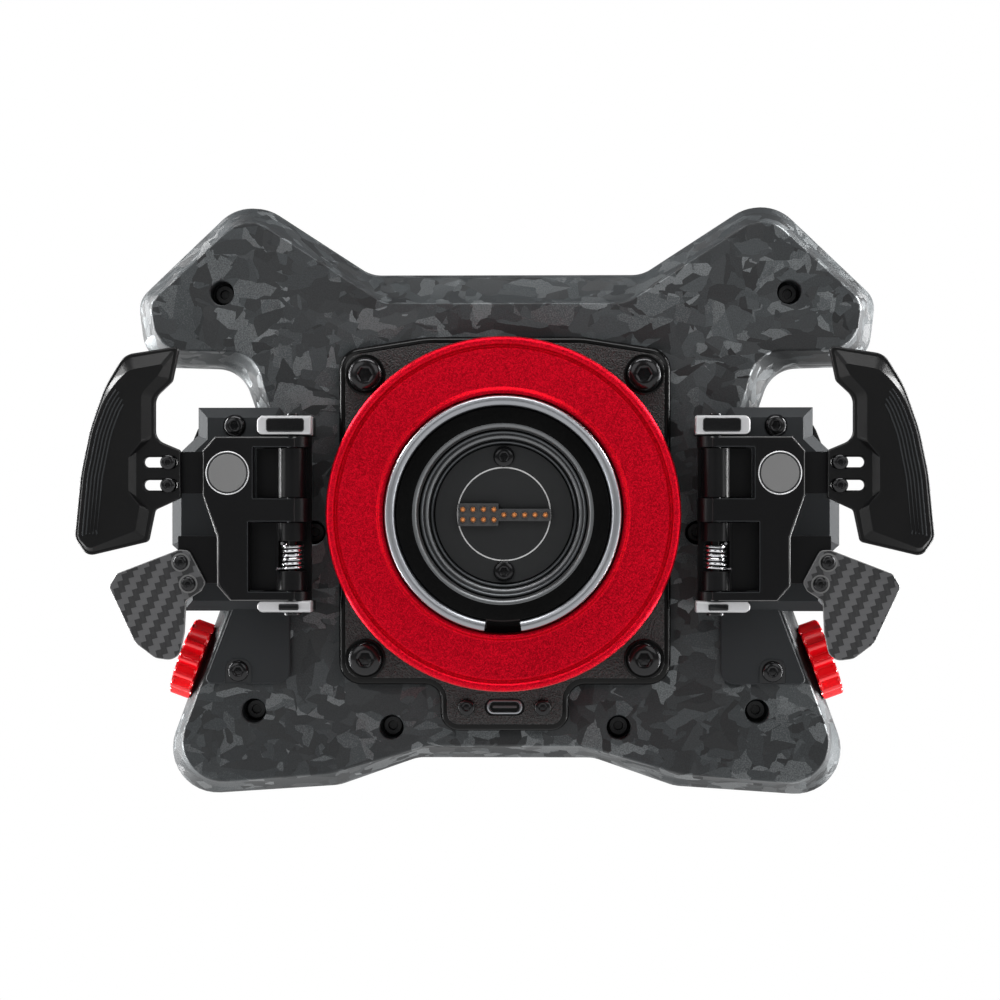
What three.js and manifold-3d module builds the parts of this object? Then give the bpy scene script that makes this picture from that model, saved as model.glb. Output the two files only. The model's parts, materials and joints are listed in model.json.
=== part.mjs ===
// A racing wheel for a driving simulator, seen by its maker as a bench of separate pieces.
// Millimetres. +X is the right-hand side seen from behind, +Y points to the driver and +Z is up.
// The origin lies on the steering column's axis, in the mouth plane of the quick-release socket.

import * as THREE from 'three';
import { mergeVertices } from 'three/addons/utils/BufferGeometryUtils.js';
import Module from 'manifold-3d';

const wasm = await Module();
wasm.setup();

// ---------------------------------------------------------------- driving dimensions

const GAP = 0.3; // between two pieces that touch
const RUN = 0.3; // round a pin, shank or stem

// Body
const BODY_WIDTH = 287; // across the upper horns
const BODY_TOP = 94.6; // top edge between the horns
const BODY_BOTTOM = -96.4; // bottom edge between the lower horns
const BACK_Y = 36; // plane of the body's back face
const BODY_DEPTH = 26;
const FLOOR = 3.5; // thickness of the body's back wall
const WALL = 4; // thickness of the body's side wall
const PLATE = 4; // thickness of the front plate
const BODY_BOLT_R = 4.7; // wells of the body's long bolts

// Quick release
const BASE_HALF_WIDTH = 64;
const BASE_THICK = 5.7;
const BASE_SCREW_X = 53.7;
const BASE_SCREW_TOP = 53.7;
const BASE_SCREW_BOTTOM = -55.8;
const SCREW_HEAD_R = 6.6;
const SCREW_HEAD_TALL = 3.6;
const SCREW_SHANK_R = 2.5;
const RACE_OUTER_R = 44.6;
const RACE_WALL = 3.8;
const KEY_WIDTH = 13.6; // key gap in the race
const SOCKET_R = 33; // mouth of the socket
const SOCKET_DEPTH = 22; // from the mouth plane to the floor under the contacts
const HUB_FLANGE_R = 58;
const HUB_FLANGE = 4.4;
const CABLE_HOLE_R = 9;
const RING_OUTER_R = 67.2;
const RING_BACK_Y = 5;
const RING_THICK = 11;

// Contacts
const BOARD_R = 26.4;
const BOARD_THICK = 1.5;
const BOARD_SCREW_Z = 21.9;
const BOARD_SCREW_R = 4;
const CONTACT_TALL = 4.6;

// Service socket in the base plate's tab
const TAB_HALF_WIDTH = 24.8;
const TAB_BOTTOM = -83.6;
const PORT_Z = -74.4;
const PORT_WIDTH = 15.4;
const PORT_HEIGHT = 6.6;
const PORT_SCREW_X = 14.7;
const PORT_SCREW_R = 3.2;

// Covers and grips, set out from the hinge of the paddles
const COVER_INSET = 61.2; // from the body's widest point to the covers' inner edge
const HINGE_INSET = 63.2; // from the body's widest point to the hinge axis
const HINGE_Y = 13;
const COVER_Y = 30; // back face of the covers
const COVER_DEPTH = 20;
const COVER_WALL = 2.6;
const COVER_BEVEL = 4;
const PANEL_Y = 33.4; // back face of the covers' low panels
const GRIP_DEPTH = 38;
const COVER_SCREW_R = 4.1;

// Paddles
const PIN_R = 2.2;
const BARREL_R = 5.4;
const LEVER_THICK = 7;
const LEVER_GAP = 2.4; // between the two levers, for the shift lever's stroke
const CLUTCH_THICK = 3.5;
const BLADE_THICK = 4;
const MAGNET_R = 7.3;
const MAGNET_THICK = 2.4;
const SLOT_WIDTH = 3.9;

// Controls
const BUTTON_R = 6;
const BUTTON_PROUD = 4.5;
const KNOB_R = 10;
const KNOB_TALL = 13;
const KNOB_SHAFT_R = 3;
const THUMB_R = 15.5;
const THUMB_WIDTH = 8;
const CIRCUIT_Y = 52;
const CIRCUIT_THICK = 1.6;

// ---------------------------------------------------------------- worked-out places

const HALF = BODY_WIDTH / 2;
const FRONT_Y = BACK_Y + BODY_DEPTH;
const PLATE_FRONT_Y = FRONT_Y + GAP + PLATE;
const BASE_Y = BACK_Y - GAP - BASE_THICK;
const COVER_X = HALF - COVER_INSET;
const HINGE_X = HALF - HINGE_INSET;
const LEVER_Y = HINGE_Y - LEVER_THICK;
const CLUTCH_Y = HINGE_Y + LEVER_GAP;
const STEM_END_Y = CIRCUIT_Y + CIRCUIT_THICK + 2.4;
const FAR = 400; // longer than any piece, for cuts that go right through

// ---------------------------------------------------------------- finishes

function finish(color, roughness, metalness) {
  return new THREE.MeshStandardMaterial({ color, roughness, metalness });
}

const carbon = finish(0x45494b, 0.45, 0.1);
const powderBlack = finish(0x0c0d0e, 0.75, 0.2);
const redAnodised = finish(0xb80d18, 0.35, 0.8);
const polishedSteel = finish(0xb4b8bc, 0.15, 1);
const blackAluminium = finish(0x121314, 0.4, 0.7);
const blackOxide = finish(0x0a0a0b, 0.3, 0.8);
const boardBlack = finish(0x0b0c0e, 0.5, 0);
const contactGrey = finish(0x3b3a3a, 0.5, 0.3);
const coverGrey = finish(0x34373a, 0.55, 0);
const gripRubber = finish(0x161718, 0.85, 0);
const twill = finish(0x2b2c2d, 0.5, 0.1);
const magnetGrey = finish(0x8c8c8c, 0.4, 0.8);
const springSteel = finish(0xc8ccd0, 0.2, 1);
const redPlastic = finish(0xe01020, 0.4, 0);
const greenBoard = finish(0x0f3a24, 0.6, 0);
const smokedLens = finish(0x1c1e22, 0.1, 0);

// ---------------------------------------------------------------- solids and booleans

function signedVolume(position, index) {
  const corner = [new THREE.Vector3(), new THREE.Vector3(), new THREE.Vector3()];
  let six = 0;
  for (let i = 0; i < index.length; i += 3) {
    corner.forEach((point, k) => point.fromBufferAttribute(position, index[i + k]));
    six += corner[0].dot(corner[1].clone().cross(corner[2]));
  }
  return six / 6;
}

// A closed geometry, whichever way its faces turn, as a solid with its faces out.
function solidOf(geometry) {
  const bare = geometry.clone();
  bare.deleteAttribute('normal');
  bare.deleteAttribute('uv');
  const merged = mergeVertices(bare, 1e-4);
  const triangles = [];
  for (let i = 0; i < merged.index.count; i += 3) {
    const [a, b, c] = [0, 1, 2].map((k) => merged.index.getX(i + k));
    if (a !== b && b !== c && c !== a) triangles.push(a, b, c);
  }
  const inside = signedVolume(merged.getAttribute('position'), triangles) < 0;
  if (inside) triangles.reverse();
  const vertProperties = new Float32Array(merged.getAttribute('position').array);
  const triVerts = new Uint32Array(triangles);
  return new wasm.Manifold(new wasm.Mesh({ numProp: 3, vertProperties, triVerts }));
}

function geometryOf(solid) {
  const mesh = solid.getMesh();
  const geometry = new THREE.BufferGeometry();
  geometry.setAttribute('position', new THREE.BufferAttribute(new Float32Array(mesh.vertProperties), 3));
  geometry.setIndex(Array.from(mesh.triVerts));
  return geometry;
}

function join(...geometries) {
  return geometryOf(geometries.map(solidOf).reduce((whole, next) => whole.add(next)));
}

function cut(geometry, ...tools) {
  return geometryOf(tools.map(solidOf).reduce((whole, tool) => whole.subtract(tool), solidOf(geometry)));
}

function mirrorX(geometry) {
  const mirrored = geometry.index ? geometry.clone() : mergeVertices(geometry.clone());
  mirrored.applyMatrix4(new THREE.Matrix4().makeScale(-1, 1, 1));
  mirrored.setIndex(Array.from(mirrored.index.array).reverse());
  return mirrored;
}

// ---------------------------------------------------------------- outlines, in X and Z

// Corners are [x, z, radius]; a corner without a radius stays sharp.
function rounded(corners, steps = 3) {
  const points = [];
  corners.forEach(([x, z, radius = 0], i) => {
    const here = new THREE.Vector2(x, z);
    if (radius === 0) {
      points.push(here);
      return;
    }
    const before = corners[(i + corners.length - 1) % corners.length];
    const after = corners[(i + 1) % corners.length];
    const back = new THREE.Vector2(before[0], before[1]).sub(here).normalize();
    const on = new THREE.Vector2(after[0], after[1]).sub(here).normalize();
    const half = Math.acos(THREE.MathUtils.clamp(back.dot(on), -1, 1)) / 2;
    const centre = back.clone().add(on).normalize().multiplyScalar(radius / Math.sin(half)).add(here);
    const start = here.clone().addScaledVector(back, radius / Math.tan(half)).sub(centre);
    const end = here.clone().addScaledVector(on, radius / Math.tan(half)).sub(centre);
    const sweep = Math.atan2(start.cross(end), start.dot(end));
    for (let k = 0; k <= steps; k += 1) {
      points.push(start.clone().rotateAround(new THREE.Vector2(), (sweep * k) / steps).add(centre));
    }
  });
  return points;
}

function bothSides(rightCorners) {
  const left = rightCorners.map(([x, z, radius]) => [-x, z, radius]).reverse();
  return [...rightCorners, ...left];
}

// The outline moved outwards by a distance, or inwards where it is negative.
function grow(points, distance) {
  return points.map((point, i) => {
    const before = points[(i + points.length - 1) % points.length];
    const after = points[(i + 1) % points.length];
    const into = point.clone().sub(before).normalize();
    const out = after.clone().sub(point).normalize();
    const normal = new THREE.Vector2(into.y + out.y, -into.x - out.x).normalize();
    const stretch = 1 / Math.max(0.5, normal.dot(new THREE.Vector2(into.y, -into.x)));
    return point.clone().addScaledVector(normal, distance * stretch);
  });
}

// A sharp-cornered outline inside a list of corners, for a pocket behind a wall.
function within(corners, wall) {
  return grow(corners.map(([x, z]) => new THREE.Vector2(x, z)), -wall);
}

function between(from, to, share) {
  return from.map((point, i) => point.clone().lerp(to[i], share));
}

// A solid through outlines of equal point count, each [y, points], from the lowest y up.
function loft(sections) {
  const count = sections[0][1].length;
  const positions = sections.flatMap(([y, points]) => points.flatMap((p) => [p.x, y, p.y]));
  const index = [];
  for (let s = 0; s + 1 < sections.length; s += 1) {
    for (let i = 0; i < count; i += 1) {
      const [a, b] = [s * count + i, s * count + ((i + 1) % count)];
      index.push(b, a, a + count, b, a + count, b + count);
    }
  }
  const last = (sections.length - 1) * count;
  for (const [a, b, c] of THREE.ShapeUtils.triangulateShape(sections[0][1], [])) index.push(a, b, c);
  for (const [a, b, c] of THREE.ShapeUtils.triangulateShape(sections.at(-1)[1], [])) {
    index.push(last + a, last + c, last + b);
  }
  const geometry = new THREE.BufferGeometry();
  geometry.setAttribute('position', new THREE.Float32BufferAttribute(positions, 3));
  geometry.setIndex(index);
  return geometry;
}

function slab(points, low, high) {
  return loft([[low, points], [high, points]]);
}

// A slab whose edges are chamfered on its back face, its front face or both.
function chamfered(points, low, high, backEdge, frontEdge = 0) {
  const sections = [[low + backEdge, points], [high - frontEdge, points]];
  if (backEdge > 0) sections.unshift([low, grow(points, -backEdge)]);
  if (frontEdge > 0) sections.push([high, grow(points, -frontEdge)]);
  return loft(sections);
}

// ---------------------------------------------------------------- simple bodies

function rod(radius, low, high, x = 0, z = 0, sides = 16) {
  const geometry = new THREE.CylinderGeometry(radius, radius, high - low, sides);
  return geometry.translate(x, (low + high) / 2, z);
}

function upright(radius, low, high, x, y, sides = 16) {
  const geometry = new THREE.CylinderGeometry(radius, radius, high - low, sides);
  return geometry.rotateX(Math.PI / 2).translate(x, y, (low + high) / 2);
}

function block(x0, x1, y0, y1, z0, z1) {
  const geometry = new THREE.BoxGeometry(x1 - x0, y1 - y0, z1 - z0);
  return geometry.translate((x0 + x1) / 2, (y0 + y1) / 2, (z0 + z1) / 2);
}

function turned(profile, sides) {
  return new THREE.LatheGeometry(profile.map(([r, y]) => new THREE.Vector2(r, y)), sides);
}

// A domed button-head screw, its seat in the plane y = 0 and its head towards -Y.
function buttonScrew(headR, tall, shankR, shankLong) {
  const head = turned([[0, -tall], [headR * 0.6, -tall], [headR * 0.9, -tall * 0.6], [headR, 0],
    [shankR, 0], [shankR, shankLong], [0, shankLong]], 12);
  return cut(head, rod(headR * 0.42, -tall - 1, -tall * 0.35, 0, 0, 6));
}

// ---------------------------------------------------------------- body

function frontOutline() {
  return rounded(bothSides([
    [35, BODY_BOTTOM, 15],
    [66, BODY_BOTTOM - 11, 15],
    [HALF - 3.2, BODY_BOTTOM - 15.8, 18],
    [HALF - 51.5, 20, 20],
    [HALF - 38.5, BODY_TOP - 37.3, 14],
    [HALF - 1, BODY_TOP - 36.1, 13],
    [HALF + 2.1, BODY_TOP - 10.3, 10],
    [HALF - 41.4, BODY_TOP + 31.5, 18],
    [53.6, BODY_TOP, 14],
  ]));
}

function backOutline() {
  return rounded(bothSides([
    [30.4, BODY_BOTTOM + 6.3, 15],
    [68, BODY_BOTTOM - 4.6, 15],
    [HALF - 10, BODY_BOTTOM - 9.6, 16],
    [HALF - 57.5, 20, 20],
    [HALF - 45.7, BODY_TOP - 31.7, 12],
    [HALF - 8, BODY_TOP - 31.4, 12],
    [HALF - 5, BODY_TOP - 12.3, 8],
    [HALF - 42.9, BODY_TOP + 22.4, 13],
    [47, BODY_TOP - 12.5, 12],
  ]));
}

const bodyBack = backOutline();
const bodyFront = frontOutline();
const FLARE_Y = BACK_Y + BODY_DEPTH * 0.55; // where the side wall has flared out

const EDGE = 1; // chamfer round the body's back face

function bodySections() {
  return [
    [BACK_Y, grow(bodyBack, -EDGE)],
    [BACK_Y + EDGE, bodyBack],
    [FLARE_Y, between(bodyBack, bodyFront, 0.85)],
    [FRONT_Y, bodyFront],
  ];
}

// The body with a clearance all round, and the front plate with it.
function bodyEnvelope(clearance) {
  const sections = bodySections().map(([y, points]) => [y, grow(points, clearance)]);
  sections[0][0] -= clearance;
  return loft([...sections, [PLATE_FRONT_Y + clearance, grow(bodyFront, clearance)]]);
}

const bodyBolts = [-1, 1].flatMap((side) => [
  [side * (HALF - 33.6), BODY_TOP - 8.8],
  [side * (HALF - 46), BODY_BOTTOM + 20.1],
  [side * 44, BODY_BOTTOM + 13.8],
  [side * 74.5, -7.2],
]);

const baseScrews = [-1, 1].flatMap((side) => [
  [side * BASE_SCREW_X, BASE_SCREW_TOP],
  [side * BASE_SCREW_X, BASE_SCREW_BOTTOM],
]);

function rearHousing() {
  const inside = loft([
    [BACK_Y + FLOOR, grow(bodyBack, -WALL)],
    [FLARE_Y, grow(between(bodyBack, bodyFront, 0.85), -WALL)],
    [FRONT_Y + 1, grow(bodyFront, -WALL)],
  ]);
  const wells = bodyBolts.map(([x, z]) => rod(BODY_BOLT_R, BACK_Y - 1, BACK_Y + FLOOR + 1, x, z, 12));
  const tapped = baseScrews.map(([x, z]) => (
    rod(SCREW_SHANK_R + RUN, BACK_Y - 1, BACK_Y + FLOOR + 1, x, z, 12)));
  const cable = rod(CABLE_HOLE_R, BACK_Y - 1, BACK_Y + FLOOR + 1);
  const shafts = [thumbShaft(KNOB_SHAFT_R + RUN), mirrorX(thumbShaft(KNOB_SHAFT_R + RUN))];
  return cut(loft(bodySections()), inside, cable, ...wells, ...tapped, ...coverScrewHoles(), ...shafts);
}

const buttonPlaces = [-1, 1].flatMap((side) => [
  [side * 52, 66],
  [side * 77, 78],
  [side * 70, 48],
  [side * 74, -44],
  [side * 62, -66],
]);

const knobPlaces = [[-32, -72], [0, -76], [32, -72]];

function frontPlate() {
  const plate = chamfered(bodyFront, FRONT_Y + GAP, PLATE_FRONT_Y, 0, 1);
  const buttons = buttonPlaces.map(([x, z]) => rod(BUTTON_R + RUN, FRONT_Y, PLATE_FRONT_Y + 1, x, z, 16));
  const knobs = knobPlaces.map(([x, z]) => rod(KNOB_SHAFT_R + RUN, FRONT_Y, PLATE_FRONT_Y + 1, x, z, 12));
  return cut(plate, ...buttons, ...knobs);
}

function circuitBoard() {
  const points = rounded(bothSides([[62, -72, 4], [62, 72, 4]]), 2);
  return slab(points, CIRCUIT_Y, CIRCUIT_Y + CIRCUIT_THICK);
}

function lightLens() {
  const points = rounded(bothSides([[58, BODY_TOP - 16, 3], [58, BODY_TOP - 8, 3]]), 3);
  return chamfered(points, PLATE_FRONT_Y + GAP, PLATE_FRONT_Y + GAP + 2.2, 0, 0.8);
}

// ---------------------------------------------------------------- quick release

function basePlate() {
  const points = rounded(bothSides([
    [TAB_HALF_WIDTH, TAB_BOTTOM, 7],
    [TAB_HALF_WIDTH, -65.8, 6],
    [BASE_HALF_WIDTH, -65.8, 8.5],
    [BASE_HALF_WIDTH, 62, 8.5],
    [30, 67.4, 40],
  ]), 4);
  const plate = chamfered(points, BASE_Y, BACK_Y - GAP, 1.2);
  const holes = baseScrews.map(([x, z]) => rod(SCREW_SHANK_R + RUN, BASE_Y - 1, BACK_Y, x, z, 12));
  const port = rounded(bothSides([
    [PORT_WIDTH / 2, PORT_Z - PORT_HEIGHT / 2, 3],
    [PORT_WIDTH / 2, PORT_Z + PORT_HEIGHT / 2, 3],
  ]), 3);
  return cut(plate, rod(CABLE_HOLE_R, BASE_Y - 1, BACK_Y), ...holes, slab(port, BASE_Y - 1, BACK_Y));
}

function hub() {
  const tubeR = RACE_OUTER_R - RACE_WALL - GAP;
  const flangeY = BASE_Y - GAP - HUB_FLANGE;
  return turned([
    [SOCKET_R, 3], [tubeR, 3], [tubeR, flangeY], [HUB_FLANGE_R, flangeY], [HUB_FLANGE_R, BASE_Y - GAP],
    [CABLE_HOLE_R, BASE_Y - GAP], [CABLE_HOLE_R, SOCKET_DEPTH], [BOARD_R + 0.4, SOCKET_DEPTH],
    [BOARD_R + 0.4, SOCKET_DEPTH - 2.5], [SOCKET_R - 1.5, SOCKET_DEPTH - 2.5], [SOCKET_R - 1.5, 10],
    [SOCKET_R, 10], [SOCKET_R, 3],
  ], 40);
}

function steelRace() {
  const [inner, end] = [RACE_OUTER_R - RACE_WALL, BASE_Y - GAP - HUB_FLANGE - GAP];
  const sleeve = turned([
    [inner, 0.8], [inner + 0.8, 0], [RACE_OUTER_R - 0.8, 0], [RACE_OUTER_R, 0.8], [RACE_OUTER_R, end],
    [inner, end], [inner, 0.8],
  ], 40);
  return cut(sleeve, block(-KEY_WIDTH / 2, KEY_WIDTH / 2, -1, 14, -RACE_OUTER_R - 2, -inner + 3));
}

function releaseRing() {
  const inner = RACE_OUTER_R + 0.6;
  const [back, front] = [RING_BACK_Y, RING_BACK_Y + RING_THICK];
  return turned([
    [inner, back + 0.6], [inner + 1.1, back], [inner + 2.2, back + 1.2], [RING_OUTER_R - 6, back + 1.2],
    [RING_OUTER_R - 3.4, back], [RING_OUTER_R - 1, back + 0.6], [RING_OUTER_R, back + 2],
    [RING_OUTER_R, front - 3], [RING_OUTER_R - 4, front], [inner, front], [inner, back + 0.6],
  ], 48);
}

function contactBoard() {
  const [back, front] = [SOCKET_DEPTH - GAP - BOARD_THICK, SOCKET_DEPTH - GAP];
  const disc = rod(BOARD_R, back, front, 0, 0, 28);
  const holes = [-1, 1].map((side) => rod(1.5, back - 1, front + 1, 0, side * BOARD_SCREW_Z, 8));
  return cut(disc, ...holes);
}

function boardScrew() {
  return buttonScrew(BOARD_SCREW_R, 1.6, 1.2, GAP + BOARD_THICK);
}

function contactBlock() {
  const front = SOCKET_DEPTH - GAP - BOARD_THICK - GAP;
  const points = rounded([
    [-17.3, -4.6], [-2, -4.6], [-2, -2.7], [17.8, -2.7], [17.8, 2], [-2, 2], [-2, 4.1], [-17.3, 4.1],
  ]);
  return slab(points, front - CONTACT_TALL, front);
}

function portSocket() {
  const shell = (spread) => rounded(bothSides([
    [PORT_WIDTH / 2 - spread, PORT_Z - PORT_HEIGHT / 2 + spread, 2.6],
    [PORT_WIDTH / 2 - spread, PORT_Z + PORT_HEIGHT / 2 - spread, 2.6],
  ]), 3);
  const mouth = rounded(bothSides([[4.5, PORT_Z - 1.6, 1.5], [4.5, PORT_Z + 1.6, 1.5]]), 3);
  const body = cut(slab(shell(GAP), BASE_Y + 0.4, BACK_Y - GAP), slab(mouth, BASE_Y, BACK_Y - 1.5));
  return join(body, block(-3.3, 3.3, BASE_Y + 1.2, BACK_Y - 1, PORT_Z - 0.4, PORT_Z + 0.4));
}

// ---------------------------------------------------------------- covers and grips

// Right-hand pieces are drawn; the left-hand ones are their mirror images.
const COVER_SCREW_TOP = [COVER_X + 22, 34];
const COVER_SCREW_LOW = [COVER_X + 21, -60.8];
const COVER_SCREW_SEAT = 1.2; // depth of the seats in the covers

function coverScrewHoles() {
  return [COVER_SCREW_TOP, COVER_SCREW_LOW].flatMap(([x, z]) => [-1, 1].map((side) => (
    rod(1.6 + RUN, COVER_Y, BACK_Y + FLOOR + 1, side * x, z, 10))));
}

const podCorners = [
  [COVER_X + 3, -37.5],
  [COVER_X + 42.3, -37.5, 1],
  [COVER_X + 42.3, -16],
  [COVER_X + 46.7, -12],
  [COVER_X + 46.7, 20.8],
  [COVER_X + 36.5, 30.5],
  [COVER_X + 36.5, 41.2, 1],
  [COVER_X + 5, 41.2],
  [COVER_X + 1, 36],
];

const panelCorners = [
  [COVER_X + 0.9, -65.8, 5],
  [COVER_X + 34.6, -65.8, 2],
  [COVER_X + 23.2, -36],
  [COVER_X + 0.9, -36],
];

// The pod makes the back half of the handle; the low panel lies flat on the body.
function gripCover() {
  const pod = loft([
    [COVER_Y, within(podCorners, COVER_BEVEL)],
    [COVER_Y + COVER_BEVEL, within(podCorners, 0)],
    [COVER_Y + COVER_DEPTH, within(podCorners, 0)],
  ]);
  const panel = chamfered(rounded(panelCorners, 3), PANEL_Y, BACK_Y - GAP, 0.5);
  const inside = slab(within(podCorners, COVER_BEVEL), COVER_Y + COVER_WALL, COVER_Y + COVER_DEPTH + 1);
  const screws = [COVER_SCREW_TOP, COVER_SCREW_LOW].map(([x, z]) => rod(1.6 + RUN, COVER_Y - 1, BACK_Y, x, z, 10));
  const heads = [[COVER_SCREW_TOP, COVER_Y], [COVER_SCREW_LOW, PANEL_Y]].map(([[x, z], face]) => (
    rod(COVER_SCREW_R + 0.4, COVER_Y - 1, face + COVER_SCREW_SEAT, x, z, 14)));
  return cut(join(pod, panel), inside, ...screws, ...heads);
}

function coverScrew(seatY) {
  return buttonScrew(COVER_SCREW_R, 2.4, 1.6, BACK_Y + FLOOR - seatY).translate(0, seatY, 0);
}

function grip() {
  const outline = rounded([
    [COVER_X + 14, -37.5, 12],
    [COVER_X + 42, -37.5, 12],
    [COVER_X + 46, -8, 16],
    [COVER_X + 46, 16, 16],
    [COVER_X + 36, 40.5, 12],
    [COVER_X + 10, 40.5, 12],
  ], 4);
  const back = COVER_Y + COVER_DEPTH + GAP;
  return loft([
    [back, outline],
    [back + GRIP_DEPTH * 0.5, outline],
    [back + GRIP_DEPTH * 0.8, grow(outline, -3)],
    [back + GRIP_DEPTH, grow(outline, -9)],
  ]);
}

// ---------------------------------------------------------------- paddles

const LEVER_TOP = 29.4;
const LEVER_BOTTOM = -33;
const UPPER_WINDOW = [5.9, 25.3];
const LOWER_WINDOW = [-29.4, -2.9];
const EAR_TOP = 37;
const EAR_BOTTOM = -37;

function hingeHole(low, high, radius = PIN_R + RUN) {
  return upright(radius, low, high, HINGE_X, HINGE_Y, 12);
}

function shiftLever() {
  const web = rounded([
    [HINGE_X - 2, LEVER_BOTTOM],
    [HINGE_X + 23, LEVER_BOTTOM],
    [HINGE_X + 28, -27],
    [HINGE_X + 28, -8.8, 3],
    [HINGE_X + 33.5, 7.2, 3],
    [HINGE_X + 33.5, 24, 1],
    [HINGE_X + 28.7, LEVER_TOP],
    [HINGE_X - 2, LEVER_TOP],
  ], 2);
  const knuckles = [[LEVER_BOTTOM, LOWER_WINDOW[0]], [LOWER_WINDOW[1], UPPER_WINDOW[0]],
    [UPPER_WINDOW[1], LEVER_TOP]].map(([low, high]) => upright(HINGE_Y - LEVER_Y, low, high, HINGE_X, HINGE_Y));
  const plate = chamfered(web, LEVER_Y, HINGE_Y, 0.8);
  const arm = block(HINGE_X + 26, HINGE_X + 49.5, LEVER_Y + BLADE_THICK + 2, HINGE_Y + 2, 7.8, 23.6);
  const windows = [
    block(HINGE_X - 9, HINGE_X + 14.4, LEVER_Y - 1, HINGE_Y + 9, ...UPPER_WINDOW),
    block(HINGE_X - 9, HINGE_X + 16.2, LEVER_Y - 1, HINGE_Y + 9, ...LOWER_WINDOW),
  ];
  const seat = rod(MAGNET_R + GAP, LEVER_Y - 1, LEVER_Y + MAGNET_THICK, HINGE_X + 24, 15.5, 24);
  return cut(join(plate, arm, ...knuckles), ...windows, seat, hingeHole(-FAR, FAR));
}

function magnet() {
  return rod(MAGNET_R, LEVER_Y - 0.2, LEVER_Y + MAGNET_THICK - GAP, HINGE_X + 24, 15.5, 24);
}

function shiftBlade() {
  const [back, front] = [LEVER_Y + BLADE_THICK + 2 - GAP - BLADE_THICK, LEVER_Y + BLADE_THICK + 2 - GAP];
  const outline = rounded([
    [HINGE_X + 41.9, 6.1, 1],
    [HINGE_X + 51.8, 1.5, 2],
    [HINGE_X + 54.3, -10.5, 2],
    [HINGE_X + 77.5, -16, 4],
    [HINGE_X + 82.4, -9, 5],
    [HINGE_X + 80.1, 15, 60],
    [HINGE_X + 76.6, 32, 60],
    [HINGE_X + 70.8, 48.6, 40],
    [HINGE_X + 63.5, 60.4, 8],
    [HINGE_X + 42.4, 63.6, 1.5],
    [HINGE_X + 45.2, 50.3, 3],
    [HINGE_X + 51.7, 44.2, 6],
    [HINGE_X + 51.7, 28.2, 5],
    [HINGE_X + 42.2, 24.2, 1],
  ], 2);
  const slots = [19.6, 10.9].map((z) => slab(rounded([
    [HINGE_X + 43.4, z - SLOT_WIDTH / 2, 1.9], [HINGE_X + 56, z - SLOT_WIDTH / 2, 1.9],
    [HINGE_X + 56, z + SLOT_WIDTH / 2, 1.9], [HINGE_X + 43.4, z + SLOT_WIDTH / 2, 1.9]], 3), back - 1, front + 1));
  return cut(chamfered(outline, back, front, 1.2), ...slots);
}

function clutchLever() {
  const arm = block(HINGE_X, HINGE_X + 44, CLUTCH_Y, CLUTCH_Y + CLUTCH_THICK, -26.4, -8.4);
  const [low, high] = [LOWER_WINDOW[0] + GAP, LOWER_WINDOW[1] - GAP];
  const barrel = upright(BARREL_R, low, high, HINGE_X, HINGE_Y);
  const neck = block(HINGE_X, HINGE_X + 6, HINGE_Y, CLUTCH_Y + CLUTCH_THICK, low, high);
  const springBay = block(HINGE_X - 9, HINGE_X + 5.2, HINGE_Y - 9, HINGE_Y + 9, SPRING[0] - GAP, SPRING[1] + GAP);
  const plate = block(HINGE_X, HINGE_X + 26, CLUTCH_Y, CLUTCH_Y + CLUTCH_THICK, low, high);
  return cut(join(barrel, neck, plate, arm), springBay, hingeHole(-FAR, FAR));
}

const SPRING = [-21.4, -10.6];

function spring() {
  const coil = upright(4.5, ...SPRING, HINGE_X, HINGE_Y, 20);
  return cut(coil, hingeHole(-FAR, FAR, PIN_R + 0.5));
}

function clutchBlade() {
  const [back, front] = [CLUTCH_Y - GAP - BLADE_THICK + 1.5, CLUTCH_Y - GAP];
  const outline = rounded([
    [HINGE_X + 33, -26.1, 2],
    [HINGE_X + 34.8, -29.3],
    [HINGE_X + 40.6, -33, 2],
    [HINGE_X + 41.2, -45, 4],
    [HINGE_X + 43.4, -56, 5],
    [HINGE_X + 52.3, -54.8, 4],
    [HINGE_X + 60, -49, 6],
    [HINGE_X + 70, -27.6, 2],
    [HINGE_X + 67, -22.7, 2],
    [HINGE_X + 43.6, -13.7],
    [HINGE_X + 39.6, -13.7, 3],
  ], 2);
  return chamfered(outline, back, front, 0.4);
}

function hingePin() {
  return turnedUpright([[0, EAR_BOTTOM - 1.5], [PIN_R + 1.2, EAR_BOTTOM - 1.5], [PIN_R + 1.2, EAR_BOTTOM - GAP],
    [PIN_R, EAR_BOTTOM - GAP], [PIN_R, EAR_TOP + 1.2], [0, EAR_TOP + 1.2]]);
}

function turnedUpright(profile) {
  return turned(profile, 16).rotateX(Math.PI / 2).translate(HINGE_X, HINGE_Y, 0);
}

// The bracket stands on the cover and carries the pin in two ears and a fixed barrel.
function paddleBracket() {
  const foot = COVER_Y - GAP;
  const base = block(HINGE_X - 6, HINGE_X + 12.6, foot - 3, foot, EAR_BOTTOM, EAR_TOP);
  const ears = [[LEVER_TOP + GAP, EAR_TOP], [EAR_BOTTOM, LEVER_BOTTOM - GAP]].map(([low, high]) => (
    block(HINGE_X - 7.4, HINGE_X + 12.6, LEVER_Y + 1.5, foot, low, high)));
  const barrel = upright(BARREL_R, UPPER_WINDOW[0] + GAP, UPPER_WINDOW[1] - GAP, HINGE_X, HINGE_Y);
  const rib = block(HINGE_X - 4, HINGE_X + 4, HINGE_Y, foot, UPPER_WINDOW[0] + GAP, UPPER_WINDOW[1] - GAP);
  const backPlate = block(HINGE_X, HINGE_X + 13.9, CLUTCH_Y, CLUTCH_Y + CLUTCH_THICK,
    UPPER_WINDOW[0] + GAP, UPPER_WINDOW[1] - GAP);
  return cut(join(base, ...ears, barrel, rib, backPlate), hingeHole(-FAR, FAR));
}

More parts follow.
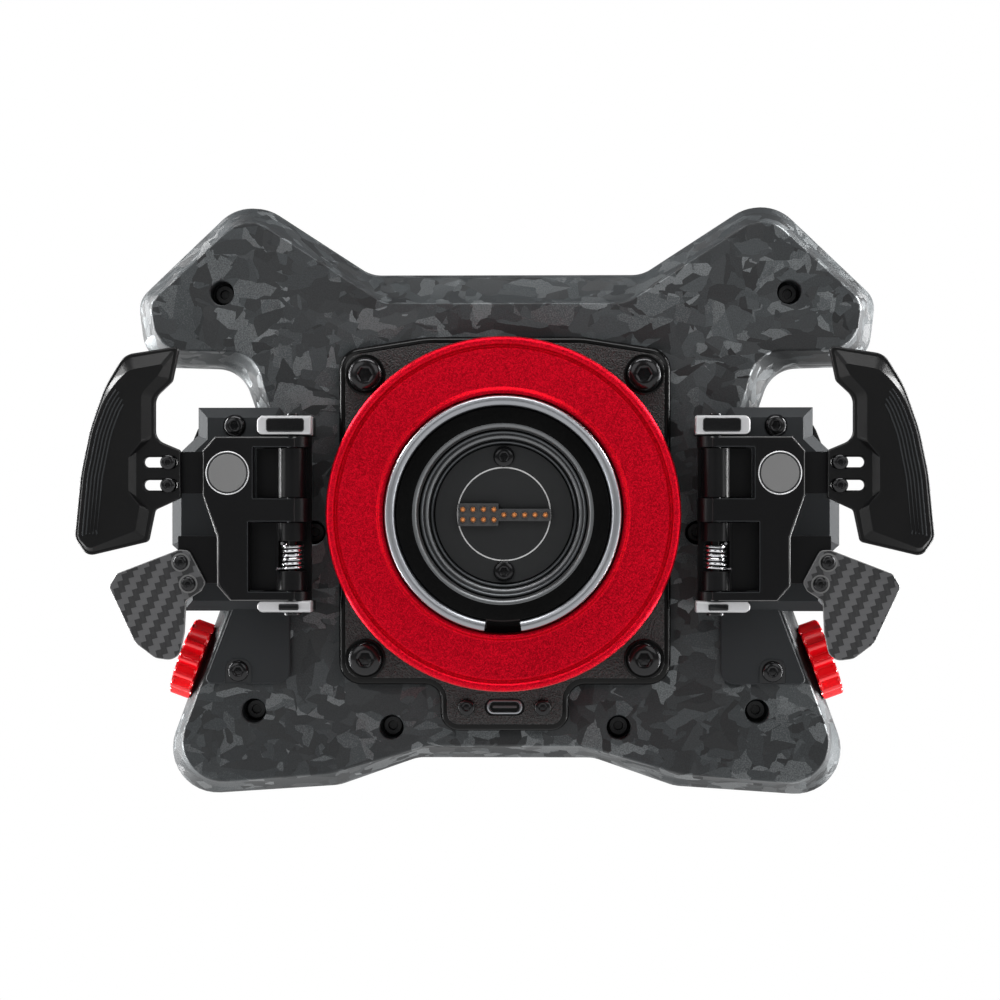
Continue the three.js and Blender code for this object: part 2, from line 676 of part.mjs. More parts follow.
// ---------------------------------------------------------------- controls

function lobed(radius, depth, lobes, stepsPerLobe) {
  return Array.from({ length: lobes * stepsPerLobe }, (_, i) => {
    const angle = (i / (lobes * stepsPerLobe)) * 2 * Math.PI;
    const reach = radius - depth * (0.5 - 0.5 * Math.cos(angle * lobes));
    return new THREE.Vector2(reach * Math.cos(angle), reach * Math.sin(angle));
  });
}

function pushButton() {
  const crown = BUTTON_PROUD;
  const reach = PLATE_FRONT_Y - STEM_END_Y;
  return turned([[0, -reach], [BUTTON_R, -reach], [BUTTON_R, crown - 1], [BUTTON_R - 1, crown], [0, crown]], 16);
}

function rotaryKnob() {
  const grippy = chamfered(lobed(KNOB_R, 1.2, 10, 3), 0.6, KNOB_TALL, 0, 1.5);
  return join(grippy, rod(KNOB_SHAFT_R, STEM_END_Y - PLATE_FRONT_Y, 2, 0, 0, 12));
}

// The thumb wheels stand on the slanted side walls, turned square to them.
const THUMB_TILT = Math.atan2(48.3, 132.2);
const THUMB_SEAT = new THREE.Vector3(HALF - 22.4, (BACK_Y + FRONT_Y) / 2 + 1, -58.4);

function ontoSideWall(geometry) {
  const turn = new THREE.Matrix4().makeRotationZ(-Math.PI / 2);
  const tilt = new THREE.Matrix4().makeRotationY(-THUMB_TILT);
  return geometry.applyMatrix4(turn).applyMatrix4(tilt).translate(...THUMB_SEAT.toArray());
}

function thumbShaft(radius) {
  return ontoSideWall(rod(radius, -9, 2, 0, 0, 12));
}

function thumbWheel() {
  const wheel = chamfered(lobed(THUMB_R, 2.2, 12, 3), 1.6, 1.6 + THUMB_WIDTH, 0, 1.2);
  return join(ontoSideWall(wheel), thumbShaft(KNOB_SHAFT_R));
}

// ---------------------------------------------------------------- assembly

const wheel = new THREE.Group();

function add(name, geometry, material, place = [0, 0, 0]) {
  const mesh = new THREE.Mesh(geometry, material);
  mesh.name = name;
  mesh.position.set(...place);
  wheel.add(mesh);
}

function addPair(name, geometry, material) {
  add(`right_${name}`, geometry, material);
  add(`left_${name}`, mirrorX(geometry), material);
}

function addPairAroundBody(name, geometry, material) {
  const body = bodyEnvelope(GAP);
  add(`right_${name}`, cut(geometry, body), material);
  add(`left_${name}`, cut(mirrorX(geometry), body), material);
}

add('rear_housing', rearHousing(), carbon);
add('front_plate', frontPlate(), carbon);
add('main_circuit_board', circuitBoard(), greenBoard);
add('light_lens', lightLens(), smokedLens);

add('qr_base_plate', basePlate(), powderBlack);
add('qr_hub', hub(), blackAluminium);
add('qr_steel_race', steelRace(), polishedSteel);
add('release_ring', releaseRing(), redAnodised);
add('contact_board', contactBoard(), boardBlack);
add('contact_block', contactBlock(), contactGrey);
add('port_socket', portSocket(), springSteel);

baseScrews.forEach(([x, z], i) => {
  const shank = BACK_Y + FLOOR + 2 - BASE_Y;
  add(`base_screw_${i + 1}`, buttonScrew(SCREW_HEAD_R, SCREW_HEAD_TALL, SCREW_SHANK_R, shank), blackOxide,
    [x, BASE_Y - GAP, z]);
});
[-1, 1].forEach((side, i) => {
  const boardBack = SOCKET_DEPTH - GAP - BOARD_THICK;
  add(`board_screw_${i + 1}`, boardScrew(), blackOxide, [0, boardBack - GAP, side * BOARD_SCREW_Z]);
  add(`port_screw_${i + 1}`, buttonScrew(PORT_SCREW_R, 1.4, 0, 0), blackOxide,
    [side * PORT_SCREW_X, BASE_Y - GAP, PORT_Z]);
});

addPairAroundBody('grip_cover', gripCover(), coverGrey);
addPairAroundBody('grip', grip(), gripRubber);
[[COVER_SCREW_TOP, COVER_Y], [COVER_SCREW_LOW, PANEL_Y]].forEach(([[x, z], face], i) => {
  const screw = coverScrew(face + COVER_SCREW_SEAT - GAP).translate(x, 0, z);
  addPair(`cover_screw_${i + 1}`, screw, blackOxide);
});

addPair('paddle_bracket', paddleBracket(), blackAluminium);
addPair('hinge_pin', hingePin(), polishedSteel);
addPair('shift_lever', shiftLever(), blackAluminium);
addPair('shift_magnet', magnet(), magnetGrey);
addPair('shift_blade', shiftBlade(), blackAluminium);
addPair('clutch_lever', clutchLever(), blackAluminium);
addPair('clutch_blade', clutchBlade(), twill);
addPair('clutch_spring', spring(), springSteel);
addPair('thumb_wheel', thumbWheel(), redPlastic);

buttonPlaces.forEach(([x, z], i) => {
  add(`push_button_${i + 1}`, pushButton(), gripRubber, [x, PLATE_FRONT_Y, z]);
});
knobPlaces.forEach(([x, z], i) => {
  add(`rotary_knob_${i + 1}`, rotaryKnob(), blackAluminium, [x, PLATE_FRONT_Y, z]);
});

export default wheel;
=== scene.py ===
"""A racing wheel for a driving simulator, seen from behind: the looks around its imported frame.

Metres. +X is the right-hand side seen from behind, +Y points to the driver, +Z is up.
The origin lies on the steering column's axis, in the mouth plane of the quick-release socket.
"""

import json
import math

import bmesh
import bpy
from mathutils import Matrix, Vector


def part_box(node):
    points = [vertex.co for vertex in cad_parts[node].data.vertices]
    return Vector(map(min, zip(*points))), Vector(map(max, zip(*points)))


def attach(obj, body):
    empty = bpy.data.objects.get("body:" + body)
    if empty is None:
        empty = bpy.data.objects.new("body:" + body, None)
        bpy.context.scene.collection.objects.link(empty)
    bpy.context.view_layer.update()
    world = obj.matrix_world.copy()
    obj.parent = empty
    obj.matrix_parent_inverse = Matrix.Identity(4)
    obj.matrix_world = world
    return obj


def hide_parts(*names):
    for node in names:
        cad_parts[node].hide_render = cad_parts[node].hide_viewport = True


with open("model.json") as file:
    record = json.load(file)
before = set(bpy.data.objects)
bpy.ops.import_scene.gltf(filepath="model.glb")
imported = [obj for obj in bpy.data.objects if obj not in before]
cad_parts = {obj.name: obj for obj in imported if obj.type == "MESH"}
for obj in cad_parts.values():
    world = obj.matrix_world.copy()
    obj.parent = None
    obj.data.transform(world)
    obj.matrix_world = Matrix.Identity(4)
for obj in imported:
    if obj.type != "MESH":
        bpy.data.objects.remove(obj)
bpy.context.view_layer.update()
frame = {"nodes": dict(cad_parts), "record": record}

MM = 0.001
BACK_HALF = 143.5  # half the width across the body's upper horns, in millimetres
BODY_TOP = 94.6  # the body's top edge between the horns
BODY_BOTTOM = -96.4  # its bottom edge between the lower horns
BODY_OF = {node: body for body, nodes in frame["record"]["behaviour"]["bodies"].items() for node in nodes}
SLOT_OF = {part["node"]: part["material_slot"] for part in frame["record"]["subparts"]}
SIDES = {"right": 1, "left": -1}


def corners_of(node):
    """A node's low and high corner, in millimetres."""
    low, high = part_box(node)
    return low / MM, high / MM


def middle_of(node):
    """The x and z of a node's middle, in millimetres."""
    low, high = corners_of(node)
    return (low.x + high.x) / 2, (low.z + high.z) / 2


# ---------------------------------------------------------------- camera, floor and light

EYE_DISTANCE = 1.1  # from the socket's mouth to the lens
EYE_SIDE = 0.027  # the lens stands a little to the right
PICTURE_WIDTH = 0.3873  # across the picture, in the plane of the body's back face


def link(thing):
    bpy.context.scene.collection.objects.link(thing)


def set_camera():
    back_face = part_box("rear_housing")[0].y
    data = bpy.data.cameras.new("camera")
    data.sensor_width = 36
    data.lens = data.sensor_width * (EYE_DISTANCE + back_face) / PICTURE_WIDTH
    data.shift_x = -0.005
    data.shift_y = 0.014
    data.clip_end = 20
    camera = bpy.data.objects.new("camera", data)
    camera.location = (EYE_SIDE, -EYE_DISTANCE, 0)
    camera.rotation_euler = (math.pi / 2, 0, math.atan(EYE_SIDE / (EYE_DISTANCE + back_face)))
    link(camera)
    bpy.context.scene.camera = camera


def area_light(name, place, target, size, watts, colour=(1, 1, 1)):
    data = bpy.data.lights.new(name, "AREA")
    data.shape = "RECTANGLE"
    data.size, data.size_y = size
    data.energy = watts
    data.color = colour
    light = bpy.data.objects.new(name, data)
    light.location = place
    light.rotation_euler = (Vector(target) - Vector(place)).to_track_quat("-Z", "Y").to_euler()
    link(light)


def set_light():
    scene = bpy.context.scene
    scene.view_settings.view_transform = "Standard"
    for side in (1, -1):
        area_light(f"side_strip_{side}", (side * 0.7, 0.17, 0.05), (side * 0.1, 0.05, 0), (0.24, 1.0), 26)
        area_light(f"edge_strip_{side}", (side * 0.8, -0.22, 0.1), (side * 0.1, 0.0, 0), (0.12, 0.9), 2.2)
        area_light(f"front_soft_{side}", (side * 0.55, -1.0, 0.55), (0, 0, 0), (0.7, 0.7), 2.4)
    area_light("top_soft", (0, -0.3, 0.95), (0, 0.02, 0), (1.0, 0.35), 8)


def pale_world():
    world = bpy.data.worlds.new("pale studio")
    bpy.context.scene.world = world
    world.use_nodes = True
    tree = world.node_tree
    background = tree.nodes["Background"]
    seen = tree.nodes.new("ShaderNodeBackground")
    path = tree.nodes.new("ShaderNodeLightPath")
    blend = tree.nodes.new("ShaderNodeMixShader")
    background.inputs["Color"].default_value = (0.9, 0.92, 0.95, 1)
    background.inputs["Strength"].default_value = 0.10
    seen.inputs["Color"].default_value = (1, 1, 1, 1)
    seen.inputs["Strength"].default_value = 1.0
    tree.links.new(path.outputs["Is Camera Ray"], blend.inputs["Fac"])
    tree.links.new(background.outputs[0], blend.inputs[1])
    tree.links.new(seen.outputs[0], blend.inputs[2])
    tree.links.new(blend.outputs[0], tree.nodes["World Output"].inputs["Surface"])


def pale_floor():
    bm = bmesh.new()
    bmesh.ops.create_grid(bm, x_segments=1, y_segments=1, size=6)
    bmesh.ops.translate(bm, verts=bm.verts, vec=(0, 0, -0.6))
    mesh = bpy.data.meshes.new("floor")
    bm.to_mesh(mesh)
    bm.free()
    finish = Finish("pale floor", Base_Color=(0, 0, 0, 1), Roughness=1.0, Specular_IOR_Level=0.0,
                    Emission_Color=(1, 1, 1, 1), Emission_Strength=1.0)
    mesh.materials.append(finish.material)
    floor = bpy.data.objects.new("floor", mesh)
    link(floor)


# ---------------------------------------------------------------- finishes

def sums(operation, swapped=False):
    """A method that adds a maths node over a value and what it meets."""
    def made(self, *others):
        terms = (*others, self) if swapped else (self, *others)
        return self.finish.node("ShaderNodeMath", {"operation": operation}, dict(enumerate(terms)))
    return made


class Value:
    """A socket's number, on which sums are written as Python expressions."""

    def __init__(self, finish, socket):
        self.finish = finish
        self.socket = socket

    __add__ = __radd__ = sums("ADD")
    __sub__ = sums("SUBTRACT")
    __rsub__ = sums("SUBTRACT", swapped=True)
    __mul__ = __rmul__ = sums("MULTIPLY")
    __lt__ = sums("LESS_THAN")
    __gt__ = sums("GREATER_THAN")
    __mod__ = sums("FLOORED_MODULO")
    floor = sums("FLOOR")
    fraction = sums("FRACT")
    size = sums("ABSOLUTE")


class Finish:
    """A material and its nodes. Constant values are set on the shader's own sockets."""

    def __init__(self, name, **constants):
        self.material = bpy.data.materials.new(name)
        self.material.use_nodes = True
        self.tree = self.material.node_tree
        self.shader = self.tree.nodes["Principled BSDF"]
        for socket, value in constants.items():
            self.shader.inputs[socket.replace("_", " ")].default_value = value

    def node(self, kind, settings=None, inputs=None, output=0):
        made = self.tree.nodes.new(kind)
        for key, value in (settings or {}).items():
            if key == "stops":
                self.set_stops(made.color_ramp, value)
            else:
                setattr(made, key, value)
        for key, value in (inputs or {}).items():
            self.feed(made.inputs[key], value)
        return Value(self, made.outputs[output])

    def set_stops(self, ramp, stops):
        while len(ramp.elements) < len(stops):
            ramp.elements.new(0.5)
        for element, (position, colour) in zip(ramp.elements, stops):
            element.position = position
            element.color = (*colour, 1)

    def feed(self, socket, value):
        if isinstance(value, Value):
            self.tree.links.new(value.socket, socket)
        else:
            socket.default_value = value

    def varies(self, **channels):
        for socket, value in channels.items():
            self.feed(self.shader.inputs[socket.replace("_", " ")], value)
        return self

    def place(self, turn=(0, 0, 0), stretch=(1, 1, 1)):
        where = self.node("ShaderNodeTexCoord", output="Object")
        return self.node("ShaderNodeMapping", {}, {"Vector": where, "Rotation": turn, "Scale": stretch})

    def noise(self, scale, detail=3, where=None, output="Fac"):
        return self.node("ShaderNodeTexNoise", {}, {"Vector": where or self.place(), "Scale": scale,
                                                    "Detail": detail}, output)

    def cells(self, scale, where=None, output="Distance", distance="EUCLIDEAN"):
        return self.node("ShaderNodeTexVoronoi", {"distance": distance},
                         {"Vector": where or self.place(), "Scale": scale}, output)

    def between(self, share, first, second):
        return self.node("ShaderNodeMix", {"data_type": "RGBA"}, {"Factor": share, 6: first, 7: second}, 2)

    def ramp(self, value, stops):
        return self.node("ShaderNodeValToRGB", {"stops": stops}, {"Fac": value})

    def bump(self, height, distance, normal=None):
        inputs = {"Height": height, "Distance": distance}
        if normal:
            inputs["Normal"] = normal
        return self.node("ShaderNodeBump", {}, inputs)

    def leaning(self, colour, amount):
        """The surface's normal, tipped its own way in every cell of a random colour."""
        lean = self.node("ShaderNodeVectorMath", {"operation": "SUBTRACT"}, {0: colour, 1: (0.5, 0.5, 0.5)})
        lean = self.node("ShaderNodeVectorMath", {"operation": "SCALE"}, {0: lean, "Scale": amount})
        level = self.node("ShaderNodeNewGeometry", output="Normal")
        tipped = self.node("ShaderNodeVectorMath", {"operation": "ADD"}, {0: level, 1: lean})
        return self.node("ShaderNodeVectorMath", {"operation": "NORMALIZE"}, {0: tipped})


def grey(level):
    return (level, level, level, 1)


def tinted(colour, share):
    return tuple(c * share for c in colour[:3]) + (1,)


def plain_finish(name, colour, roughness, metallic, grain, microns, variation=0.25, **constants):
    """A finish with cloudy colour, uneven roughness and a fine grain that stands microns proud."""
    finish = Finish(name, Metallic=metallic, **constants)
    cloud = finish.noise(28, 4)
    speck = finish.noise(grain, 2)
    low, high = tinted(colour, 1 - variation), tinted(colour, 1 + variation)
    return finish.varies(
        Base_Color=finish.between(cloud * 0.6 + speck * 0.4, low, high),
        Roughness=cloud * 0.12 + speck * 0.1 + (roughness - 0.11),
        Normal=finish.bump(speck, microns * 1e-6),
    )


def forged_carbon():
    """Pressed carbon chips: angular flakes that lie every way and catch the light differently."""
    finish = Finish("forged carbon", Specular_IOR_Level=0.4)
    wander = finish.noise(420, 2, output="Color")
    ragged = finish.node("ShaderNodeVectorMath", {"operation": "SCALE"}, {0: wander, "Scale": 0.0004})

    def flakes(turn, stretch, scale):
        place = finish.place(turn, stretch)
        shaken = finish.node("ShaderNodeVectorMath", {"operation": "ADD"}, {0: place, 1: ragged})
        return finish.cells(scale, shaken, "Color", "CHEBYCHEV")

    def red_of(colour):
        return finish.node("ShaderNodeSeparateColor", {}, {"Color": colour})

    chips = flakes((0.3, 0.5, 0.4), (1, 1, 0.5), 125)
    layers = [((0.2, -0.7, 1.1), (0.4, 1, 1), 150), ((0.9, 0.2, -0.5), (1, 0.7, 0.45), 175),
              ((0.4, 1.2, 0.7), (0.5, 1, 1), 140)]
    for k, (turn, stretch, scale) in enumerate(layers):
        pick = red_of(flakes((0.1 + k, 0.9 - 0.5 * k, 0.2 + k), (0.6, 1, 1), 100 + 14 * k)) > 0.56
        chips = finish.between(pick, chips, flakes(turn, stretch, scale))
    shade = red_of(chips)
    fibre = finish.noise(2200, 5)
    level = shade * 0.56 + fibre * 0.44
    colour = finish.ramp(level, [(0.22, (0.012, 0.013, 0.014)), (0.48, (0.030, 0.033, 0.035)),
                                 (0.66, (0.054, 0.060, 0.063)), (0.8, (0.135, 0.143, 0.147))])
    grain = finish.bump(fibre, 0.00005, normal=finish.leaning(chips, 0.5))
    return finish.varies(Base_Color=colour, Roughness=0.6 - shade * 0.2, Metallic=shade * 0.5, Normal=grain)


def powder_coat():
    """Thick paint that has dried in fine wrinkles."""
    finish = Finish("wrinkle powder coat", Specular_IOR_Level=0.25)
    wrinkle = finish.cells(1500)
    cloud = finish.noise(900, 3)
    return finish.varies(
        Base_Color=finish.between(wrinkle + cloud * 0.5, grey(0.004), grey(0.046)),
        Roughness=0.45 + cloud * 0.2,
        Normal=finish.bump(wrinkle + cloud, 0.00045),
    )


def red_anodised():
    """Bead-blasted and dyed: a deep red in which single grains glint."""
    finish = Finish("red anodised", Metallic=0.95)
    grains = finish.cells(2600, output="Color")
    glint = finish.node("ShaderNodeSeparateColor", {}, {"Color": grains})
    cloud = finish.noise(20, 3)
    colour = finish.between(glint * 0.7 + cloud * 0.3, (0.30, 0.001, 0.006, 1), (0.88, 0.004, 0.024, 1))
    return finish.varies(Base_Color=colour, Roughness=0.32 + glint * 0.16,
                         Normal=finish.bump(glint, 0.00002, normal=finish.leaning(grains, 0.22)))


def twill_carbon():
    """Tows woven two over, two under, each with its own fine fibres."""
    finish = Finish("twill carbon", Metallic=0.1)
    tow = 2.25 * MM
    slant = (0, 1.85, 0)
    place = finish.place(slant, (1 / tow, 1, 1 / tow))
    split = finish.node("ShaderNodeSeparateXYZ", {}, {"Vector": place}).socket.node
    across, up = Value(finish, split.outputs["X"]), Value(finish, split.outputs["Z"])
    over = ((across.floor() + up.floor()) % 4) < 1.5
    across_crown = (across.fraction() - 0.5).size()
    up_crown = (up.fraction() - 0.5).size()
    crown = across_crown * over + up_crown * (1 - over)
    fibre = finish.noise(4000, 2, finish.place(slant, (1, 1, 0.2)))
    level = over * 0.75 + fibre * 0.25 - crown * 0.12
    colour = finish.ramp(level, [(0.05, (0.012, 0.012, 0.013)), (0.85, (0.085, 0.085, 0.088))])
    return finish.varies(Base_Color=colour, Roughness=0.55 - over * 0.1,
                         Normal=finish.bump(1 - crown, 0.00012))


FINISHES = {
    "carbon": forged_carbon(),
    "powder_black": powder_coat(),
    "red_anodised": red_anodised(),
    "steel": plain_finish("polished steel", (0.33, 0.34, 0.36), 0.34, 1.0, 1800, 4, 0.08),
    "brushed_steel": plain_finish("brushed steel", (0.17, 0.175, 0.18), 0.34, 0.9, 2400, 6, 0.15),
    "steel_dark": plain_finish("dark steel", (0.09, 0.095, 0.10), 0.3, 0.8, 2400, 6, 0.15),
    "black_aluminium": plain_finish("black anodised", (0.004, 0.004, 0.0045), 0.33, 0.2, 2600, 8,
                                    Specular_IOR_Level=0.22),
    "black_oxide": plain_finish("black oxide", (0.03, 0.03, 0.031), 0.17, 0.8, 1500, 10),
    "solder_mask": plain_finish("black solder mask", (0.008, 0.009, 0.01), 0.42, 0.0, 1200, 10),
    "contacts": plain_finish("contact block plastic", (0.045, 0.045, 0.047), 0.5, 0.0, 2500, 20),
    "cover_grey": plain_finish("satin cover plastic", (0.026, 0.028, 0.030), 0.7, 0.0, 2200, 20, 0.12,
                                Specular_IOR_Level=0.15),
    "grip_rubber": plain_finish("grip rubber", (0.012, 0.012, 0.012), 0.8, 0.0, 700, 80),
    "twill": twill_carbon(),
    "magnet": plain_finish("nickelled magnet", (0.2, 0.2, 0.2), 0.5, 0.6, 1600, 6, 0.08),
    "spring_steel": plain_finish("bright spring wire", (0.6, 0.6, 0.62), 0.2, 1.0, 1500, 4, 0.1),
    "red_plastic": plain_finish("red plastic", (0.92, 0.001, 0.008), 0.24, 0.0, 1500, 20, 0.1,
                                Coat_Weight=0.7),
    "board_green": plain_finish("circuit board", (0.01, 0.06, 0.025), 0.5, 0.0, 900, 30),
    "lens": plain_finish("smoked lens", (0.012, 0.013, 0.015), 0.1, 0.0, 300, 4),
    "satin_metal": plain_finish("satin metal", (0.56, 0.56, 0.57), 0.4, 0.55, 2200, 10, 0.1),
    "blade_satin": plain_finish("satin black blade", (0.003, 0.003, 0.0032), 0.34, 0.0, 2600, 30, 0.3,
                                Specular_IOR_Level=0.22),
    "gloss_black": plain_finish("gloss black", (0.002, 0.002, 0.002), 0.2, 0.0, 900, 10, 0.2,
                                Specular_IOR_Level=0.18),
    "white_ink": plain_finish("white ink", (0.75, 0.75, 0.75), 0.6, 0.0, 1500, 10, 0.08),
    "copper": plain_finish("copper", (0.95, 0.36, 0.12), 0.35, 0.55, 1500, 10, 0.15),
    "button_black": plain_finish("button plastic", (0.014, 0.014, 0.015), 0.45, 0.0, 1500, 20),
}


# ---------------------------------------------------------------- making pieces

def show(name, bm, node_or_body, slot=None, replaces=(), smooth_angle=32):
    """Turns a bmesh into a piece that rides with a node's body and wears a finish."""
    for edge in bm.edges:
        if len(edge.link_faces) == 2:
            edge.smooth = edge.calc_face_angle(0) < math.radians(smooth_angle)
    for face in bm.faces:
        face.smooth = True
    mesh = bpy.data.meshes.new(name)
    bm.to_mesh(mesh)
    bm.free()
    piece = bpy.data.objects.new(name, mesh)
    link(piece)
    slot = slot or SLOT_OF[node_or_body]
    mesh.materials.append(FINISHES[slot].material)
    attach(piece, BODY_OF.get(node_or_body, node_or_body))
    if replaces:
        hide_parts(*replaces)
    weighted = piece.modifiers.new("even shading", "WEIGHTED_NORMAL")
    weighted.keep_sharp = True
    return piece


BROKEN_EDGE = 0.35 * MM
SHARP_FROM = math.radians(28)


def refined(node):
    """A node's own solid with its flat faces made whole and its sharp edges broken."""
    bm = bmesh.new()
    bm.from_mesh(frame["nodes"][node].data)
    bmesh.ops.remove_doubles(bm, verts=bm.verts, dist=0.005 * MM)
    bmesh.ops.dissolve_limit(bm, angle_limit=math.radians(1.5), verts=bm.verts, edges=bm.edges)
    sharp = [e for e in bm.edges if len(e.link_faces) == 2 and e.calc_face_angle(0) > SHARP_FROM]
    bmesh.ops.bevel(bm, geom=sharp, offset=BROKEN_EDGE, offset_type="OFFSET", affect="EDGES", segments=2,
                    profile=0.5, material=-1, clamp_overlap=True)
    show(f"{node}_made", bm, node, replaces=[node])


# ---------------------------------------------------------------- shapes

def skin(bm, rings):
    """Faces between each ring of vertices and the next."""
    for near, far in zip(rings, rings[1:]):
        for i in range(len(near)):
            bm.faces.new((near[i - 1], near[i], far[i], far[i - 1]))


def capped(bm, rings):
    """A closed skin over rings, with a face across its first and its last."""
    skin(bm, rings)
    bm.faces.new(rings[0])
    bm.faces.new(rings[-1])
    bmesh.ops.recalc_face_normals(bm, faces=bm.faces)
    return bm


def split_ring(profile, gap, steps=180):
    """A closed profile spun round the origin's y axis, but for a gap in metres at its lowest point."""
    bm = bmesh.new()
    middle = sum(radius for radius, _ in profile) / len(profile) * MM
    half = math.asin(gap / 2 / middle)
    rings = []
    for k in range(steps + 1):
        angle = -math.pi / 2 + half + (math.tau - 2 * half) * k / steps
        rings.append([bm.verts.new((radius * MM * math.cos(angle), y * MM, radius * MM * math.sin(angle)))
                      for radius, y in profile])
    return capped(bm, rings)


def spun(profile, steps, x=0, z=0, y=0):
    """A profile of (radius, y) in millimetres, spun round the y direction through a point."""
    bm = bmesh.new()
    verts = [bm.verts.new((radius * MM, y * MM, 0)) for radius, y in profile]
    closed = profile[0][0] > 0 and profile[-1][0] > 0
    pairs = list(zip(verts, verts[1:])) + ([(verts[-1], verts[0])] if closed else [])
    edges = [bm.edges.new(pair) for pair in pairs]
    bmesh.ops.spin(bm, geom=verts + edges, cent=(0, 0, 0), axis=(0, 1, 0), angle=math.tau, steps=steps,
                   use_merge=True)
    bmesh.ops.remove_doubles(bm, verts=bm.verts, dist=0.0005 * MM)
    bmesh.ops.translate(bm, verts=bm.verts, vec=(x * MM, y * MM, z * MM))
    bmesh.ops.recalc_face_normals(bm, faces=bm.faces)
    return bm


def rounded(corners, steps=7):
    """Points (x, z) round an outline of corners (x, z, radius)."""
    points = []
    for i, (x, z, radius) in enumerate(corners):
        here = Vector((x, z))
        back = (Vector(corners[i - 1][:2]) - here).normalized()
        on = (Vector(corners[(i + 1) % len(corners)][:2]) - here).normalized()
        if radius == 0:
            points.append(here)
            continue
        half = back.angle(on) / 2
        centre = here + (back + on).normalized() * radius / math.sin(half)
        start = here + back * radius / math.tan(half) - centre
        end = here + on * radius / math.tan(half) - centre
        sweep = math.atan2(start.x * end.y - start.y * end.x, start.dot(end))
        points += [centre + Matrix.Rotation(sweep * k / steps, 2) @ start for k in range(steps + 1)]
    return points


def inset(corners, distance):
    """The same corners with every side moved inwards by a distance, and the radii with them."""
    count = len(corners)
    area = sum(corners[i - 1][0] * corners[i][1] - corners[i][0] * corners[i - 1][1] for i in range(count))
    inward = 1 if area > 0 else -1
    moved = []
    for i, (x, z, radius) in enumerate(corners):
        here = Vector((x, z))
        back = (here - Vector(corners[i - 1][:2])).normalized()
        on = (Vector(corners[(i + 1) % count][:2]) - here).normalized()
        turn = back.x * on.y - back.y * on.x
        sides = [Vector((-way.y, way.x)) * inward for way in (back, on)]
        middle = (sides[0] + sides[1]).normalized()
        place = here + middle * distance / middle.dot(sides[0])
        change = -distance if turn * inward > 0 else distance
        moved.append((place.x, place.y, max(radius + change, 0.1) if radius else 0))
    return moved


def between(first, second, share):
    """Points part of the way from one outline to another with as many points."""
    return [a.lerp(b, share) for a, b in zip(first, second)]


def circle(x, z, radius, count=28):
    return [Vector((x + radius * math.cos(math.tau * k / count), z + radius * math.sin(math.tau * k / count)))
            for k in range(count)]


def at_depth(y, outline):
    """An outline's points in metres, all at one y."""
    return [(x * MM, y * MM, z * MM) for x, z in outline]


def solid(sections, holes=(), blind=False):
    """A closed shell through outlines [(y, points), ...], with holes that are lists of outlines too."""
    bm = bmesh.new()

    def tube(rings):
        loops = [[bm.verts.new(place) for place in at_depth(y, points)] for y, points in rings]
        skin(bm, loops)
        return loops[0], loops[-1]

    def edges_of(loop):
        return [bm.edges.get((loop[i - 1], loop[i])) or bm.edges.new((loop[i - 1], loop[i]))
                for i in range(len(loop))]

    first, last = tube(sections)
    ends = [tube(hole) for hole in holes]
    if ends:
        near = edges_of(first) + [e for start, _ in ends for e in edges_of(start)]
        bmesh.ops.triangle_fill(bm, edges=near, use_beauty=True, use_dissolve=False, normal=(0, -1, 0))
    else:
        bm.faces.new(first)
    if ends and not blind:
        far = edges_of(last) + [e for _, end in ends for e in edges_of(end)]
        bmesh.ops.triangle_fill(bm, edges=far, use_beauty=True, use_dissolve=False, normal=(0, 1, 0))
    else:
        bm.faces.new(last)
        for _, end in ends:
            bm.faces.new(end)
    bmesh.ops.recalc_face_normals(bm, faces=bm.faces)
    return bm


def slab(corners, low, high, edge=0.3, steps=7):
    """A rounded outline given thickness from y = low to y = high, with its edges broken."""
    full = rounded(corners, steps)
    slim = rounded(inset(corners, edge), steps)
    half = between(full, slim, 0.3)
    return solid([(low, slim), (low + edge * 0.3, half), (low + edge, full), (high - edge, full),
                  (high - edge * 0.3, half), (high, slim)])


def both_sides(right):
    """The corners of an outline's right half, and their mirror images."""
    return right + [(-x, z, radius) for x, z, radius in reversed(right)]


def box(x, z, half_x, half_z, y0, y1, edge):
    """A block round the point (x, z) from y0 to y1."""
    radius = edge * 1.2
    return slab([(x - half_x, z - half_z, radius), (x + half_x, z - half_z, radius),
                 (x + half_x, z + half_z, radius), (x - half_x, z + half_z, radius)], y0, y1, edge, 4)


def join(bm, *others):
    """Adds the faces of other meshes to bm; they stay separate shells of one piece."""
    for other in others:
        mesh = bpy.data.meshes.new("joined")
        other.to_mesh(mesh)
        other.free()
        bm.from_mesh(mesh)
        bpy.data.meshes.remove(mesh)
    return bm


def wire(name, points, radius, node_or_body, slot, closed=False):
    """A round wire through points, as a mesh tube."""
    data = bpy.data.curves.new(name, "CURVE")
    data.dimensions = "3D"
    data.bevel_depth = radius
    data.bevel_resolution = 3
    data.use_fill_caps = True
    spline = data.splines.new("POLY")
    spline.points.add(len(points) - 1)
    for point, co in zip(spline.points, points):
        point.co = (*co, 1)
    spline.use_cyclic_u = closed
    loose = bpy.data.objects.new(name, data)
    link(loose)
    mesh = bpy.data.meshes.new_from_object(loose)
    bpy.data.objects.remove(loose)
    bm = bmesh.new()
    bm.from_mesh(mesh)
    bpy.data.meshes.remove(mesh)
    return show(name, bm, node_or_body, slot)


# ---------------------------------------------------------------- screws

